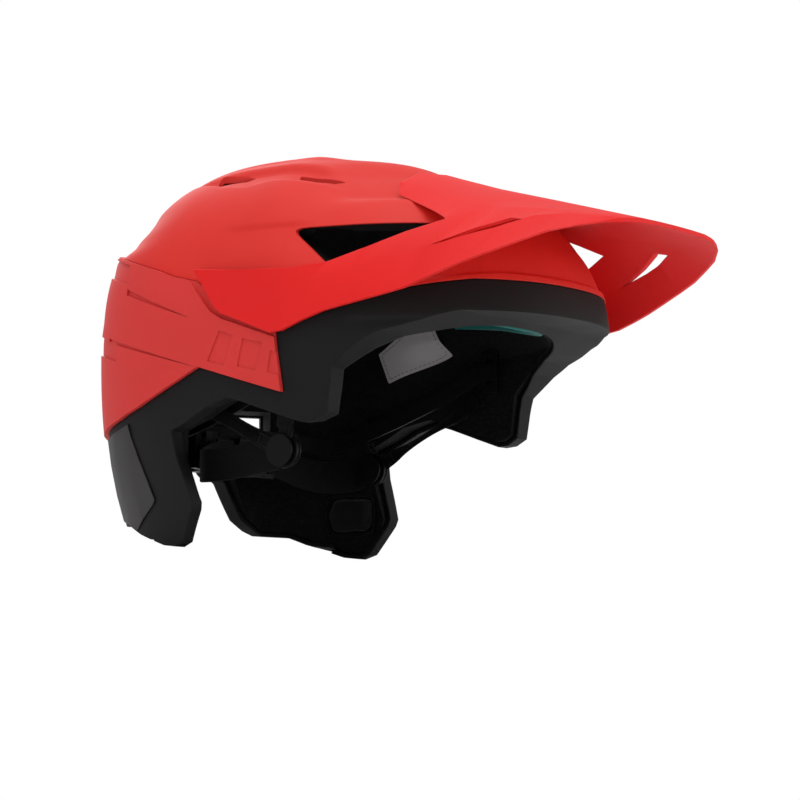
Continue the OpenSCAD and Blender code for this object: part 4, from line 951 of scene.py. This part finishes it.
def pipingLoop(low, high, base, top):
    # a cord round one patch of the cavity wall, bowed in a little between the corners
    path = []
    quarter = piping["beads"] // 4
    for i in range(piping["beads"]):
        side, share = divmod(i, quarter)
        t = share / (quarter / 2)
        a, b = [(t - 1, -1), (1, t - 1), (1 - t, 1), (-1, 1 - t)][side]
        a, b = a * (1 - piping["bowAcross"] * b * b), b * (1 - piping["bowUp"] * a * a)
        a, b = a * piping["inset"], b * piping["inset"]
        turn, u = low + (high - low) * (a + 1) / 2, base + (top - base) * (b + 1) / 2
        place = cavityPoint(turn, u, piping["on"])
        path.append((place, cavityPoint(turn, u, piping["over"]) - place))
    return sweep("piping", path, roundSection(piping["radius"], 8), True)


def makeCushion(name):
    body, fill, patches = cushions[name]
    piece = bpy.data.objects.new(name + "Soft", nodes[name].data.copy())
    piece.matrix_world = nodes[name].matrix_world.copy()
    bpy.context.scene.collection.objects.link(piece)
    bpy.ops.object.select_all(action="DESELECT")
    piece.select_set(True)
    bpy.context.view_layer.objects.active = piece
    bpy.ops.object.transform_apply(location=True, rotation=True, scale=True)
    bpy.ops.object.mode_set(mode="EDIT")
    bpy.ops.mesh.select_all(action="SELECT")
    bpy.ops.mesh.remove_doubles(threshold=weldReach)
    bpy.ops.object.mode_set(mode="OBJECT")
    apply(piece, "REMESH", {"mode": "VOXEL", "voxel_size": puff["voxel"] * mm})
    apply(piece, "DISPLACE", {"strength": -puff["shrink"] * mm, "mid_level": 0.0})
    start = [v.co.copy() for v in piece.data.vertices]
    scene = bpy.context.scene
    cloth = piece.modifiers.new("puff", "CLOTH")
    cloth.settings.use_pressure = True
    cloth.settings.uniform_pressure_force = puff["pressure"]
    cloth.settings.effector_weights.gravity = 0
    cloth.point_cache.frame_start = 1
    cloth.point_cache.frame_end = puff["frames"]
    for frameNumber in range(1, puff["frames"] + 1):
        scene.frame_set(frameNumber)
    bpy.ops.object.modifier_apply(modifier="puff")
    scene.frame_set(1)
    for vertex, was in zip(piece.data.vertices, start):
        moved = vertex.co - was
        if moved.length > puff["most"] * mm:
            vertex.co = was + moved.normalized() * puff["most"] * mm
    apply(piece, "SUBSURF", {"levels": 1})
    dress(piece, "padKnit", body, 180)
    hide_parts(name)
    if patches:
        cord = joined(name + "Piping", [pipingLoop(*patch) for patch in patches])
        dress(cord, "pipingKnit", body, 60)


makeLowerShell()
print("lower shell shaped")
makeStraps()
makeTrim()
makeLabel()
print("straps, trim and label made")
for name in cushions:
    makeCushion(name)
print("cushions made:", len(cushions))


nodeFinish = {
    "visorRed": ["visor"],
    "panelGrey": ["lobe_panel_left", "lobe_panel_right"],
    "beadFoam": ["foam_liner", "foam_lobe_left", "foam_lobe_right"],
    "trimKnit": ["damping_discs"],
    "fitNylon": ["pivot_bush_left", "pivot_bush_right", "height_rail", "cradle", "dial_housing", "dial_cover",
                 "fit_dial", "rack_left", "rack_right", "band_left", "band_right", "temple_clip_left",
                 "temple_clip_right", "strap_anchors", "strap_divider_left", "strap_divider_right", "buckle_frame",
                 "buckle_lever", "buckle_tongue"],
}


def dressNode(name, finish):
    piece = nodes[name]
    piece.data.materials.clear()
    piece.data.materials.append(finishes[finish])
    for face in piece.data.polygons:
        face.use_smooth = True
    weld = piece.modifiers.new("weld", "WELD")
    weld.merge_threshold = weldReach
    split = piece.modifiers.new("crisp", "EDGE_SPLIT")
    split.split_angle = crispAngle


for finish, names in nodeFinish.items():
    for name in names:
        dressNode(name, finish)
print("nodes dressed")


def makeFloor():
    # seen from above it is a plain pale floor; from below it isn't there
    bpy.ops.mesh.primitive_plane_add(size=studio["floorSize"], location=(0, 0, studio["floorZ"]))
    floor = bpy.context.object
    floor.name = "floor"
    graph = Graph("floorPaint")
    direct = graph.node("ShaderNodeLightPath", {}, {}, "Is Camera Ray")
    colour = graph.mix(direct, studio["floorColour"] + (1.0,), studio["floorSeen"] + (1.0,))
    paint = graph.node("ShaderNodeBsdfDiffuse", {}, {"Color": colour})
    clear = graph.node("ShaderNodeBsdfTransparent", {}, {})
    under = graph.node("ShaderNodeNewGeometry", {}, {}, "Backfacing")
    both = graph.node("ShaderNodeMixShader", {}, {0: under, 1: paint, 2: clear})
    graph.node("ShaderNodeOutputMaterial", {}, {"Surface": both})
    floor.data.materials.append(graph.material)


makeFloor()
